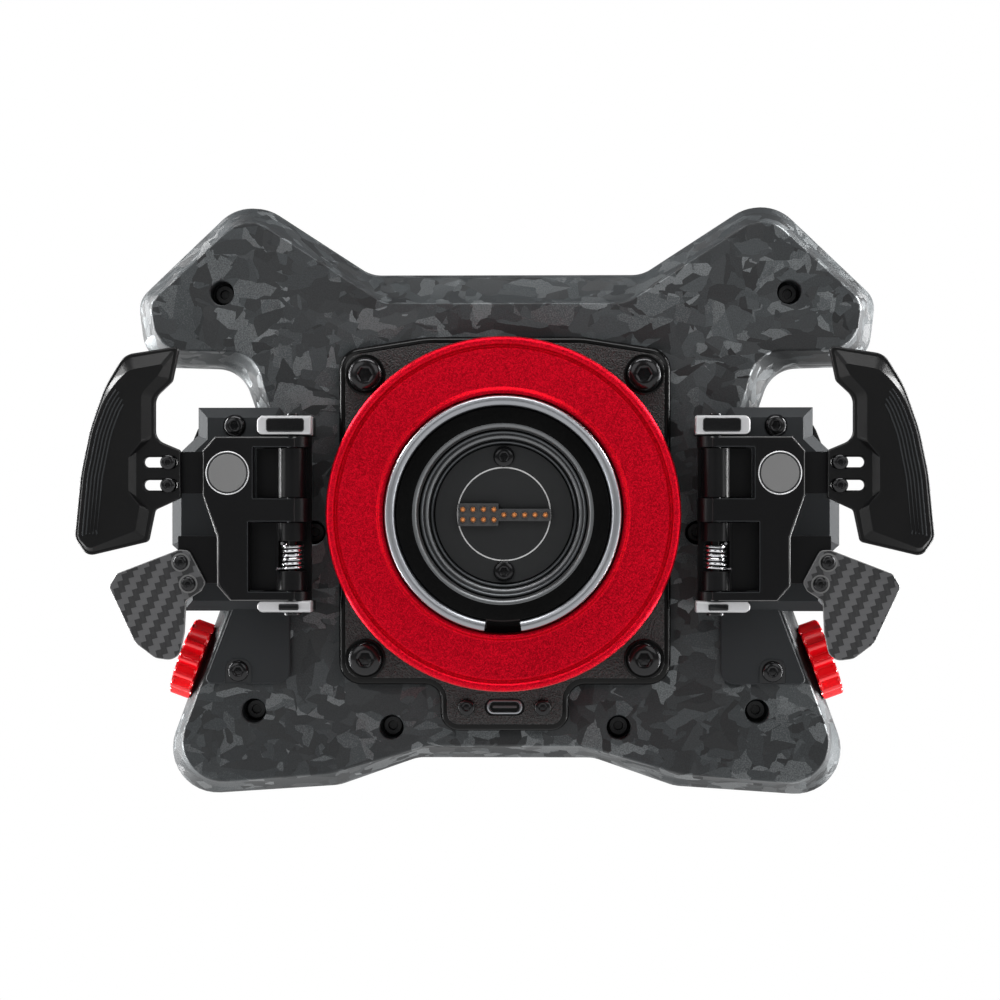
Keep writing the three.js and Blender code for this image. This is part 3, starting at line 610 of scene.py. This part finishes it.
def socket_screw(name, x, y, z, head_r, tall, node, replaces=()):
    """A domed button head that rises towards -y, with a hexagon socket."""
    socket = head_r * 0.42
    lip = socket * 1.12
    dome = math.radians(78)
    profile = [(0, tall * 0.55), (socket, tall * 0.5), (socket, tall * 0.93), (lip, tall)]
    for k in range(1, 9):
        angle = k / 8 * dome
        profile.append((lip + (head_r - lip) * math.sin(angle) / math.sin(dome),
                        tall * (0.28 + 0.72 * math.cos(angle) ** 0.8)))
    profile += [(head_r, 0.12 * tall), (head_r * 0.96, 0)]
    bm = spun([(r, -height) for r, height in profile] + [(0, 0)], 48)
    flat = math.cos(math.pi / 6)
    for vert in bm.verts:
        radius = math.hypot(vert.co.x, vert.co.z)
        if abs(radius - socket * MM) < 0.02 * MM:
            angle = math.atan2(vert.co.z, vert.co.x) % (math.pi / 3) - math.pi / 6
            vert.co.x *= flat / math.cos(angle)
            vert.co.z *= flat / math.cos(angle)
    bmesh.ops.translate(bm, verts=bm.verts, vec=(x * MM, y * MM, z * MM))
    bmesh.ops.recalc_face_normals(bm, faces=bm.faces)
    show(name, bm, node, "black_oxide", replaces, smooth_angle=40)


def screw_on(node, name, head_r, tall):
    """A button head of a given height in the place of a node's solid."""
    x, z = middle_of(node)
    socket_screw(name, x, corners_of(node)[0].y + tall, z, head_r, tall, node, replaces=[node])


# ---------------------------------------------------------------- body

def body_outlines(top, bottom):
    """The outlines of the body's front and of its back face, in millimetres."""
    half = BACK_HALF
    front = both_sides([
        (35, bottom, 15), (66, bottom - 11, 15), (half - 3.2, bottom - 15.8, 18), (half - 51.5, 20, 20),
        (half - 38.5, top - 37.3, 14), (half - 1, top - 36.1, 13), (half + 2.1, top - 10.3, 10),
        (half - 41.4, top + 31.5, 18), (53.6, top, 14)])
    back = both_sides([
        (30.4, bottom + 6.3, 15), (68, bottom - 4.6, 15), (half - 10, bottom - 9.6, 16),
        (half - 57.5, 20, 20), (half - 45.7, top - 31.7, 12), (half - 8, top - 31.4, 12),
        (half - 5, top - 12.3, 8), (half - 42.9, top + 22.4, 13), (47, top - 12.5, 12)])
    return front, back


WELL_R = 4.7
WELL_DEPTH = 13
BOLT_DEPTH = 11  # how far in the bolts' heads lie


def body():
    """The rear housing with its flared side wall and bolt wells, and the front plate."""
    low, high = corners_of("rear_housing")
    front, back = body_outlines(BODY_TOP, BODY_BOTTOM)
    wide, narrow = rounded(front, 12), rounded(back, 12)
    sections = [(low.y + step, rounded(inset(back, by), 12))
                for step, by in ((0, 1), (0.25, 0.45), (0.8, 0.08))]
    start, flare = 1.2, 0.55 * (high.y - low.y)
    for k in range(9):
        share = k / 8
        outline = between(narrow, wide, 0.85 * share ** 1.15)
        sections.append((low.y + start + (flare - start) * share, outline))
    sections.append((high.y, wide))
    places = [(side * x, z) for side in (1, -1) for x, z in (
        (BACK_HALF - 33.6, BODY_TOP - 8.8), (BACK_HALF - 46, BODY_BOTTOM + 20.1), (44, BODY_BOTTOM + 13.8),
        (74.5, -7.2))]
    wells = [[(low.y, circle(x, z, WELL_R + 0.4)), (low.y + 0.4, circle(x, z, WELL_R)),
              (low.y + WELL_DEPTH, circle(x, z, WELL_R))] for x, z in places]
    show("forged_body", solid(sections, wells, blind=True), "rear_housing", replaces=["rear_housing"])
    head = [(0, 0.8), (1.6, 0.8), (1.9, -1.2), (3.4, -1.2), (3.9, -0.7), (4.0, 0.9), (0, 0.9)]
    for k, (x, z) in enumerate(places):
        show(f"body_bolt_{k + 1}", spun(head, 32, x, z, low.y + BOLT_DEPTH), "chassis", "solder_mask")
    low, high = corners_of("front_plate")
    slim = rounded(inset(front, 1), 12)
    plate = solid([(low.y, wide), (high.y - 1, wide), (high.y - 0.3, between(wide, slim, 0.35)),
                   (high.y, slim)])
    show("forged_front_plate", plate, "front_plate", replaces=["front_plate"])


def base_plate():
    """The quick release's base: a wrinkled face inside a glossy rolled edge, with seats for its screws."""
    low, high = corners_of("qr_base_plate")
    back, front = low.y, high.y
    tab = high.x - 39.2
    shoulder = low.z + 17.8
    corners = both_sides([(tab, low.z, 7), (tab, shoulder, 6), (high.x, shoulder, 8.5),
                          (high.x, high.z - 4.4, 8.5), (30, high.z + 1, 40)])
    level = middle_of("port_socket")[1]
    mouth = rounded(both_sides([(7.7, level - 3.3, 3.2), (7.7, level + 3.3, 3.2)]))

    def plate(name, slot, steps, **more):
        sections = [(y, rounded(inset(corners, by)) if by else rounded(corners)) for y, by in steps]
        hole = [(steps[0][0], mouth), (steps[-1][0], mouth)]
        show(name, solid(sections, [hole]), "qr_base_plate", slot, **more)

    plate("base_edge", "gloss_black", [(back, 2.4), (back + 0.25, 1.3), (back + 0.8, 0.5), (back + 1.7, 0),
                                       (front, 0)], replaces=["qr_base_plate"])
    plate("base_face", "powder_black", [(back - 0.12, 2.7), (back + 0.1, 2.4), (back + 0.6, 2.4)])
    seat = [(6.6, back - 0.3), (7.1, back - 0.45), (7.7, back - 0.3), (7.9, back), (6.6, back)]
    for k in range(1, 5):
        show(f"base_screw_seat_{k}", spun(seat, 64, *middle_of(f"base_screw_{k}")), "chassis", "gloss_black")


# ---------------------------------------------------------------- quick release

def release_ring():
    """The red ring that is pulled to let the wheel go: a flat face between two rolled lips."""
    low, high = corners_of("release_ring")
    outer, back, front = high.x, low.y, high.y
    inner = outer - 22
    profile = [(inner, front - 0.5)]
    profile += [(inner + u, back + y) for u, y in (
        (0, 1.5), (0.3, 0.7), (0.9, 0.25), (1.6, 0.2), (2.1, 0.5), (2.4, 1.5), (2.9, 1.8), (3.5, 1.7),
        (9, 1.45))]
    profile += [(outer - u, back + y) for u, y in (
        (7.5, 1.2), (5.2, 0.9), (4.4, 1.1), (4.0, 1.7), (3.5, 1.7), (3.2, 0.7), (2.7, 0.15), (2.0, 0),
        (1.2, 0.1), (0.5, 0.6), (0.1, 1.4), (0, 2.4))]
    profile += [(outer, front - 3.2), (outer - 0.3, front - 2.6), (outer - 3.6, front - 0.2),
                (outer - 4.2, front), (inner + 0.5, front)]
    show("pull_ring", spun(profile, 160), "release_ring", replaces=["release_ring"], smooth_angle=50)


KEY_GAP = 13.6 * MM


def steel_race():
    """The polished mouth of the socket, open at the bottom for the shaft's key."""
    low, high = corners_of("qr_steel_race")
    outer, back, front = high.x, low.y, high.y
    inner = outer - 3.8
    profile = [(inner, front)]
    profile += [(inner + u, back + y) for u, y in ((0, 1.4), (0.3, 0.6), (1.2, 0.1), (2.0, 0))]
    profile += [(outer - u, back + y) for u, y in ((0.9, 0.15), (0.25, 0.6), (0, 1.3))]
    profile.append((outer, front))
    show("steel_race", split_ring(profile, KEY_GAP), "qr_steel_race", replaces=["qr_steel_race"],
         smooth_angle=50)


BALLS = 12
BALL_R = 1.15
BALL_CIRCLE = 31.3
BALL_DEPTH = 14


def hub():
    """The socket's stepped bore with its bright rings and the locking balls in their cage."""
    _, high = corners_of("qr_hub")
    flange, front = high.x, high.y
    tube = 40.5
    profile = [
        (33.4, 3.2), (33.9, 3.0), (tube - 0.5, 3.0), (tube, 3.5), (tube, front - 4.7),
        (tube + 0.6, front - 4.4), (flange - 0.6, front - 4.4), (flange, front - 3.8), (flange, front),
        (9, front), (9, 22), (26.8, 22), (26.8, 19.9), (27.2, 19.5), (28.4, 19.5), (28.8, 19.1), (30.6, 18.6),
        (31.2, 18.2), (31.4, 17.2), (31.4, 11.2), (31.6, 10.6), (32.2, 10.3), (32.6, 9.8), (33.0, 9.2),
        (33.0, 3.8),
    ]
    show("socket_hub", spun(profile, 160), "qr_hub", "gloss_black", replaces=["qr_hub"], smooth_angle=24)
    rings = {
        "mouth": ("brushed_steel", [(32.0, 6.5), (32.1, 4.4), (32.7, 3.3), (33.5, 2.85), (34.2, 2.95),
                                    (34.3, 3.3), (33.0, 6.5)]),
        "cage": ("steel_dark", [(30.0, 12.8), (30.1, 10.6), (30.6, 9.8), (31.3, 9.6), (31.8, 9.9),
                                (31.8, 12.8)]),
        "step": ("brushed_steel", [(28.4, 19.6), (28.5, 17.9), (28.9, 17.1), (29.8, 16.8), (30.6, 17.0),
                                   (30.9, 17.6), (30.9, 19.6)]),
        "floor": ("steel_dark", [(26.7, 20.9), (26.8, 19.7), (27.2, 19.2), (27.7, 19.1), (28.0, 19.4),
                                 (28.0, 20.9)]),
    }
    for name, (slot, ring) in rings.items():
        show(f"socket_{name}_ring", spun(ring, 160), "chassis", slot, smooth_angle=60)
    for k in range(BALLS):
        angle = math.tau * (k + 0.5) / BALLS
        bm = bmesh.new()
        bmesh.ops.create_uvsphere(bm, u_segments=20, v_segments=12, radius=BALL_R * MM)
        place = Vector((BALL_CIRCLE * math.sin(angle), BALL_DEPTH, BALL_CIRCLE * math.cos(angle))) * MM
        bmesh.ops.translate(bm, verts=bm.verts, vec=place)
        show(f"locking_ball_{k + 1}", bm, "chassis", "spring_steel")


def contact_board():
    """The round board at the socket's floor, with a printed circle and two screws."""
    low, high = corners_of("contact_board")
    back, front, radius = low.y, high.y, high.x
    profile = [(0, back), (radius - 0.2, back), (radius, back + 0.2), (radius, front - 0.2),
               (radius - 0.2, front), (0, front)]
    show("round_contact_board", spun(profile, 120), "contact_board", replaces=["contact_board"])
    line = [(17.5, back - 0.05), (18.0, back - 0.05), (18.0, back + 0.05), (17.5, back + 0.05)]
    show("board_silk_circle", spun(line, 120), "chassis", "white_ink")
    for side in (1, 2):
        screw_on(f"board_screw_{side}", f"board_button_screw_{side}", 4.0, 1.6)


def contact_block():
    """The stepped block of sprung contacts: two rows of four on its left and one row of five."""
    low, high = corners_of("contact_block")
    back = low.y
    corners = [(-17.3, -4.6, 0.4), (-2, -4.6, 0.4), (-2, -2.7, 0), (17.8, -2.7, 0.4), (17.8, 2, 0.4),
               (-2, 2, 0), (-2, 4.1, 0.4), (-17.3, 4.1, 0.4)]
    show("contact_block_body", slab(corners, back, high.y, 0.15, 4), "contact_block",
         replaces=["contact_block"])
    pin = [(0, back - 1.1), (0.45, back - 1.05), (0.85, back - 0.6), (1.0, back + 0.05), (1.0, back + 1),
           (0, back + 1)]
    cup = [(1.25, back - 0.12), (1.5, back - 0.2), (1.75, back + 0.1), (1.25, back + 0.1)]
    pitch = 3.95
    pairs = [(-15.6 + pitch * k, z) for k in range(4) for z in (1.75, -2.2)]
    line = [(0.1 + pitch * k, -0.35) for k in range(5)]
    for k, (x, z) in enumerate(pairs + line):
        show(f"spring_pin_{k + 1}", spun(pin, 20, x, z), "chassis", "copper")
        show(f"pin_cup_{k + 1}", spun(cup, 24, x, z), "chassis", "contacts")


def port():
    """The charging socket: a surround, a bright shell, a gloss black sheet of painted shade for its deep
    inside, and the tongue.
    """
    low, high = corners_of("port_socket")
    back, front = low.y, high.y
    middle = middle_of("port_socket")[1]

    def outline(half_x, half_z):
        radius = half_z * 0.96
        return rounded(both_sides([(half_x, middle - half_z, radius), (half_x, middle + half_z, radius)]))

    shell = [(back - 0.15, outline(6.55, 2.5)), (back, outline(6.8, 2.75)), (front, outline(6.8, 2.75))]
    pocket = [(back - 0.15, outline(6.2, 2.15)), (back + 0.2, outline(6.0, 1.95)),
              (back + 0.8, outline(5.9, 1.9))]
    show("port_shell", solid(shell, [pocket], blind=True), "chassis", "steel")
    # A gloss black sheet just behind the shell's shallow pocket: painted shade standing for the socket's deep
    # inside.
    depth = solid([(back + 0.7, outline(5.8, 1.85)), (back + 1.2, outline(5.8, 1.85))])
    show("port_painted_shade", depth, "chassis", "gloss_black")
    hole = outline(6.5, 2.4)
    surround = solid([(back + 0.2, outline(7.4, 3.1)), (back + 0.5, outline(7.65, 3.3)),
                      (front, outline(7.65, 3.3))], [[(back + 0.2, hole), (front, hole)]])
    show("port_surround", surround, "port_socket", "black_aluminium", replaces=["port_socket"])
    tongue = slab(both_sides([(4.7, middle - 0.5, 0.3), (4.7, middle + 0.5, 0.3)]), back + 0.5, back + 1.1,
                  0.1, 3)
    show("port_tongue", tongue, "chassis", "contacts")
    for side in (1, 2):
        screw_on(f"port_screw_{side}", f"port_button_screw_{side}", 3.2, 1.4)


# ---------------------------------------------------------------- springs

def return_spring(side):
    """The coil that pushes the clutch paddle back, with its straight end."""
    low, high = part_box(f"{side}_clutch_spring")
    centre = (low + high) / 2
    wire_r = 0.58 * MM
    radius = (high.x - low.x) / 2 - wire_r
    turns, steps = 6, 30
    length = high.z - low.z - 2 * wire_r
    sign = SIDES[side]
    points = []
    for k in range(turns * steps + 1):
        angle = math.tau * k / steps
        points.append((centre.x + sign * radius * math.cos(angle), centre.y + radius * math.sin(angle),
                       high.z - wire_r - length * k / (turns * steps)))
    end = points[-1]
    points.append((end[0] + sign * 2.2 * MM, end[1] - 1.5 * MM, end[2]))
    piece = wire(f"{side}_coil_spring", points, wire_r, f"{side}_clutch_spring", "spring_steel")
    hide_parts(f"{side}_clutch_spring")


# ---------------------------------------------------------------- paddles

def from_hinge(side, corners):
    """Corners given as (distance outwards from the hinge, z, radius), turned to x."""
    middle = middle_of(f"{side}_hinge_pin")[0]
    return [(middle + SIDES[side] * u, z, radius) for u, z, radius in corners]


SLOTS = (19.6, 10.9)  # heights of the shift blade's two slots


def slot_outline(side, z, grow=0):
    reach = 1.95 + grow
    near, far, radius = 43.4 - grow, 56 + grow, reach * 0.98
    return rounded(from_hinge(side, [(near, z - reach, radius), (far, z - reach, radius),
                                     (far, z + reach, radius), (near, z + reach, radius)]))


def shift_blade(side):
    """A plate with two slots in its tab and a raised finger pad with a broad bevel."""
    node = f"{side}_shift_blade"
    low, high = corners_of(node)
    back, front = low.y, high.y
    plate = from_hinge(side, [
        (41.9, 6.1, 1), (51.8, 1.5, 2), (54.3, -10.5, 2), (77.5, -16, 4), (82.4, -9, 5), (80.1, 15, 60),
        (76.6, 32, 60), (70.8, 48.6, 40), (63.5, 60.4, 8), (42.4, 63.6, 1.5), (45.2, 50.3, 3),
        (51.7, 44.2, 6), (51.7, 28.2, 5), (42.2, 24.2, 1)])
    full, slim, eased = rounded(plate), rounded(inset(plate, 0.5)), rounded(inset(plate, 0.2))
    slots = [[(back, slot_outline(side, z, 0.6)), (back + 0.7, slot_outline(side, z)),
              (front, slot_outline(side, z))] for z in SLOTS]
    blade = solid([(back, slim), (back + 0.2, eased), (back + 0.5, full), (front - 0.5, full), (front, slim)],
                  slots)
    foot = from_hinge(side, [
        (52.6, 28.6, 3), (58.5, 24, 1.5), (58.5, 6, 1.5), (53.4, 1.4, 2), (55.4, -9.7, 1.5), (77.2, -15, 3),
        (81.4, -9, 4), (79.2, 15, 50), (75.8, 32, 50), (70.1, 48.2, 35), (63, 59.4, 7), (43.7, 62.6, 1),
        (46.1, 50.7, 2.5), (52.6, 44.6, 5)])
    pad = from_hinge(side, [
        (56.4, 27.4, 3), (61.2, 21.6, 1.5), (61.2, 8.4, 1.5), (57, 3.2, 2), (58.6, -6.6, 1.5),
        (76.6, -13.4, 3), (80.8, -8.8, 4), (78.6, 14.8, 50), (75.2, 31.7, 50), (69.5, 47.4, 35),
        (61, 54.8, 7), (47.2, 57.2, 1), (50.2, 52, 2.5), (56.4, 45.3, 5)])
    top = back - 2.6
    rise = solid([(back + 0.3, rounded(foot)), (top + 0.15, rounded(pad)), (top, rounded(inset(pad, 0.25)))])
    show(f"{side}_finger_blade", join(blade, rise), node, "blade_satin", replaces=[node], smooth_angle=24)
    start = from_hinge(side, [(62, 0, 0)])[0][0]
    edge = sorted((p for p in rounded(pad, 10) if abs(p.x) > abs(start) and -9.5 < p.y < 50),
                  key=lambda p: p.y)
    # The ribs wear a paler grey than the blade: painted highlight along them.
    for k in range(5):
        line = []
        for i in range(1, len(edge) - 1 - k // 2):
            along = (edge[i + 1] - edge[i - 1]).normalized()
            line.append(edge[i] + Vector((-along.y, along.x)) * SIDES[side] * (1.9 + 1.35 * k))
        wire(f"{side}_blade_rib_{k + 1}", [(p.x * MM, (top - 0.08) * MM, p.y * MM) for p in line], 0.3 * MM,
             node, "cover_grey")
    for k, z in enumerate(SLOTS):
        (x, _, _), = from_hinge(side, [(46.8, 0, 0)])
        socket_screw(f"{side}_blade_screw_{k + 1}", x, back + 0.7, z, 2.9, 1.7, node)


def lever_details(side):
    """The magnet's ring with a dark ring of painted shade in its gap, and a dark sheet of painted shade round
    the cover's low screw where its recess is, edged by a pale wire that is a painted highlight.
    """
    low, high = corners_of(f"{side}_shift_magnet")
    x, z = middle_of(f"{side}_shift_magnet")
    radius, face = (high.z - low.z) / 2, low.y
    # A dark ring in the gap round the magnet: painted shade for the shadow in that gap.
    gap = [(radius - 0.05, face + 0.1), (radius + 0.5, face + 0.1), (radius + 0.5, face + 0.6),
           (radius - 0.05, face + 0.6)]
    show(f"{side}_magnet_gap_painted_shade", spun(gap, 80, x, z), f"{side}_shift_lever", "solder_mask")
    rim = [(radius + 0.5, face + 0.15), (radius + 0.7, face), (radius + 0.95, face + 0.15),
           (radius + 0.95, face + 0.4), (radius + 0.5, face + 0.4)]
    show(f"{side}_magnet_rim", spun(rim, 80, x, z), f"{side}_shift_lever", "satin_metal")
    x, z = middle_of(f"{side}_cover_screw_2")
    face = corners_of(f"{side}_grip_cover")[0].y + 3.4
    # A dark sheet, nearly flush with the cover: painted shade standing for the recess round the screw.
    notch = [(x - 5, z - 4.6, 0.3), (x + 5, z - 4.6, 0.3), (x + 5, z + 4.6, 4), (x - 5, z + 4.6, 4)]
    show(f"{side}_cover_notch_painted_shade", slab(notch, face - 0.06, face + 0.6, 0.1), "chassis", "solder_mask")
    # A paler wire round it: painted highlight on the recess's rim.
    edge = at_depth(face - 0.05, rounded(inset(notch, -0.15)))
    wire(f"{side}_cover_notch_edge", edge, 0.18 * MM, "chassis", "cover_grey", closed=True)


def clutch_blade(side):
    """A twill plate with a pale rim along its edge."""
    node = f"{side}_clutch_blade"
    low, high = corners_of(node)
    corners = from_hinge(side, [
        (33, -26.1, 2), (34.8, -29.3, 2), (40.6, -33, 2), (41.2, -45, 4), (43.4, -56, 5), (52.3, -54.8, 5),
        (60, -49, 8), (70, -27.6, 2.5), (67, -22.7, 2.5), (43.6, -13.7, 1), (39.6, -13.7, 3)])
    show(f"{side}_twill_blade", slab(corners, low.y, high.y, 0.4), node, replaces=[node])
    rim = at_depth(low.y + 0.35, rounded(inset(corners, 0.25)))
    wire(f"{side}_twill_rim", rim, 0.3 * MM, node, "magnet", closed=True)


def lever_highlight_lines(side):
    """Paler wires along the lever's broken edges and round its windows: painted highlights where the edges
    catch the light.
    """
    node = f"{side}_shift_lever"
    low, high = corners_of(node)
    top, bottom = high.z - 0.4, low.z + 0.4
    edge, recess = low.y + 0.3, low.y + 0.05
    lines = {
        "edge": (edge, "magnet", [(-2, top), (28.5, top), (33.1, 23.8), (33.1, 7.3), (27.6, -8.8),
                                  (27.6, -27.2), (22.8, bottom), (-2, bottom)]),
        "upper_window": (recess, "cover_grey", [(0, 25.5), (14.2, 25.5), (14.6, 25.1), (14.6, 6.1),
                                                (14.2, 5.7), (0, 5.7)]),
        "lower_window": (recess, "cover_grey", [(0, -2.7), (16, -2.7), (16.4, -3.1), (16.4, -29.2),
                                                (16, -29.6), (0, -29.6)]),
    }
    for name, (y, slot, line) in lines.items():
        points = at_depth(y, [(x, z) for x, z, _ in from_hinge(side, [(u, z, 0) for u, z in line])])
        wire(f"{side}_lever_{name}_line", points, 0.15 * MM, node, slot)


def clutch_screws(side):
    node = f"{side}_clutch_blade"
    face = corners_of(node)[0].y
    bed = [(2.9, -0.12), (3.5, -0.12), (3.6, 0.1), (2.9, 0.1)]
    for k, (x, z, _) in enumerate(from_hinge(side, [(42.6, -18.4, 0), (39.7, -26.6, 0)])):
        show(f"{side}_clutch_screw_seat_{k + 1}", spun(bed, 40, x, z, face), node, "magnet")
        socket_screw(f"{side}_clutch_screw_{k + 1}", x, face, z, 2.8, 1.7, node)


THUMB_AXIS = (0.93927, 0.34317)  # the wheels' axis: its share outwards and its share upwards
LOBES = 14
GROOVE = 3.4 * MM


def thumb_wheel(side):
    """A scalloped wheel: rounded lobes along its rim and a hollow in its outer face."""
    node = f"{side}_thumb_wheel"
    low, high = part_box(node)
    outwards, upwards = THUMB_AXIS
    axis = Vector((SIDES[side] * outwards, 0, upwards))
    rim, steps = (high.y - low.y) / 2, 10
    width = 8.6 * MM
    start = (low + high) / 2 - axis * (width / 2 + 0.5 * MM)
    across = Vector((0, 1, 0))
    up = axis.cross(across)
    bm = bmesh.new()
    rings = []
    for along, share, depth in ((0, 0.93, 0.2), (0.06, 0.99, 0.6), (0.14, 1, 1), (0.86, 1, 1),
                                (0.94, 0.99, 0.6), (1, 0.93, 0.2), (1, 0.62, 0), (0.9, 0.58, 0),
                                (0.9, 0.25, 0)):
        ring = []
        for k in range(LOBES * steps):
            angle = math.tau * k / (LOBES * steps)
            wave = (0.5 - 0.5 * math.cos(angle * LOBES)) ** 1.2
            radius = rim * share - GROOVE * depth * wave
            ring.append(bm.verts.new(start + axis * width * along + across * radius * math.cos(angle)
                                     + up * radius * math.sin(angle)))
        rings.append(ring)
    show(f"{side}_knurled_wheel", capped(bm, rings), node, replaces=[node], smooth_angle=35)


def bracket_ears(side):
    """Caps in a pale satin metal over the bracket's ears, with the hinge's nut above and its head below.
    Their paleness is partly the ears' own bare metal and partly painted light for the light they catch.
    """
    low, high = corners_of(f"{side}_paddle_bracket")
    back = low.y - 0.9
    top, bottom = high.z, low.z

    def cap(name, slot, reach, heights, radii, y0, y1, edge):
        (near, far), (z0, z1), (inner, outer) = reach, heights, radii
        outline = from_hinge(side, [(near, z0, inner), (far, z0, outer), (far, z1, outer), (near, z1, inner)])
        show(f"{side}_{name}", slab(outline, back + y0, back + y1, edge), "chassis", slot)

    ear = (-7.7, 12.9)
    # The ears' pale satin metal is partly their own bare metal, partly painted light for the light they
    # catch.
    cap("upper_ear", "satin_metal", ear, (top - 7.1, top + 0.2), (0.5, 2.2), 0, 9, 1.1)
    cap("lower_ear", "satin_metal", ear, (bottom - 0.2, bottom + 4.2), (0.5, 2.2), 0, 9, 1.1)
    cap("hinge_nut", "black_oxide", (-5, 9.4), (top - 6, top - 0.7), (1.2, 1.2), -0.7, 2, 0.6)
    cap("hinge_head", "black_oxide", (-3, 4.6), (bottom + 0.6, bottom + 3), (0.6, 0.6), -1.4, 2, 0.7)


# ---------------------------------------------------------------- the front

def button_details(number):
    """A collar on the front plate and a dished cap; every other cap is red."""
    node = f"push_button_{number}"
    top = corners_of(node)[1].y
    face = corners_of("front_plate")[1].y
    x, z = middle_of(node)
    collar = [(6.5, face - 0.2), (6.5, face + 0.9), (6.8, face + 1.3), (7.6, face + 1.3), (8.1, face + 0.8),
              (8.2, face - 0.2)]
    show(f"button_collar_{number}", spun(collar, 64, x, z), "chassis", "satin_metal")
    dish = [(0, top + 0.02), (3.4, top + 0.05), (4.3, top + 0.3), (4.8, top + 0.3), (5.1, top),
            (0, top - 0.3)]
    show(f"button_cap_{number}", spun(dish, 48, x, z), node, "red_plastic" if number % 2 else "cover_grey")


KNOB_MARKS = 11
MARK_CIRCLE = 13.4
MARKS_SWEEP = 270  # degrees from the first mark to the last


def knob_details(number):
    """A red cap with a white pointer, a bright skirt, and printed marks round it."""
    node = f"rotary_knob_{number}"
    top = corners_of(node)[1].y
    face = corners_of("front_plate")[1].y
    x, z = middle_of(node)
    cap = [(0, top + 0.1), (6.6, top + 0.1), (7.2, top + 0.35), (7.7, top), (0, top - 0.4)]
    show(f"knob_cap_{number}", spun(cap, 64, x, z), node, "red_anodised")
    show(f"knob_pointer_{number}", box(x, z + 4.3, 0.55, 2.3, top, top + 0.4, 0.15), node, "white_ink")
    skirt = [(10.6, face), (10.6, face + 0.3), (11.4, face + 0.4), (11.6, face)]
    show(f"knob_skirt_{number}", spun(skirt, 72, x, z), "chassis", "satin_metal")
    for k in range(KNOB_MARKS):
        angle = math.radians(MARKS_SWEEP * (k / (KNOB_MARKS - 1) - 0.5))
        mark = box(x + MARK_CIRCLE * math.sin(angle), z + MARK_CIRCLE * math.cos(angle), 0.4, 0.4, face - 0.1,
                   face + 0.12, 0.1)
        show(f"knob_{number}_mark_{k + 1}", mark, "chassis", "white_ink")


LIGHTS = 15


def light_bar():
    """A row of lights behind the lens; every other one is painted white to stand for a lit light: painted
    light, as none of them glows.
    """
    low, high = corners_of("light_lens")
    face, pitch = high.y, (high.x - low.x) / (LIGHTS + 0.6)
    level = middle_of("light_lens")[1]
    for k in range(LIGHTS):
        x = (k - (LIGHTS - 1) / 2) * pitch
        # White on every other light is painted light for a lit lamp.
        show(f"light_{k + 1}", box(x, level, 1.6, 1.4, face - 0.3, face + 0.25, 0.4), "chassis",
             "white_ink" if k % 2 else "cover_grey")


GRIP_RIDGES = 7


def grip_details(side):
    """Raised ridges on the grip's outer face."""
    low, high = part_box(f"{side}_grip")
    sign = SIDES[side]
    outer = high.x if sign > 0 else low.x
    depth = high.y - low.y
    for k in range(GRIP_RIDGES):
        z = low.z + (high.z - low.z) * (0.26 + 0.08 * k)
        points = [(outer - sign * (0.5 if 0 < j < 8 else 1.6) * MM, low.y + depth * (0.3 + 0.05 * j), z)
                  for j in range(9)]
        wire(f"{side}_grip_ridge_{k + 1}", points, 1.1 * MM, "chassis", "grip_rubber")


# ---------------------------------------------------------------- the parts

MADE_APART = {
    "rear_housing", "front_plate", "qr_base_plate", "release_ring", "qr_steel_race", "qr_hub",
    "contact_board", "contact_block", "port_socket",
    *(f"{place}_screw_{k}" for place in ("board", "port") for k in (1, 2)),
    *(f"base_screw_{k}" for k in range(1, 5)),
    *(f"{side}_{part}" for side in SIDES for part in (
        "shift_blade", "clutch_blade", "clutch_spring", "thumb_wheel", "cover_screw_1", "cover_screw_2")),
}

set_camera()
set_light()
pale_world()
pale_floor()

for node in frame["nodes"]:
    if node not in MADE_APART:
        refined(node)

body()
base_plate()
release_ring()
steel_race()
hub()
contact_board()
contact_block()
port()
for k in range(1, 5):
    screw_on(f"base_screw_{k}", f"base_button_screw_{k}", 6.6, 3.6)
light_bar()
for k in range(1, 11):
    button_details(k)
for k in range(1, 4):
    knob_details(k)
for side in SIDES:
    grip_details(side)
    return_spring(side)
    shift_blade(side)
    clutch_blade(side)
    clutch_screws(side)
    lever_highlight_lines(side)
    bracket_ears(side)
    thumb_wheel(side)
    lever_details(side)
    for k in (1, 2):
        screw_on(f"{side}_cover_screw_{k}", f"{side}_cover_button_screw_{k}", 4.1, 2.4)
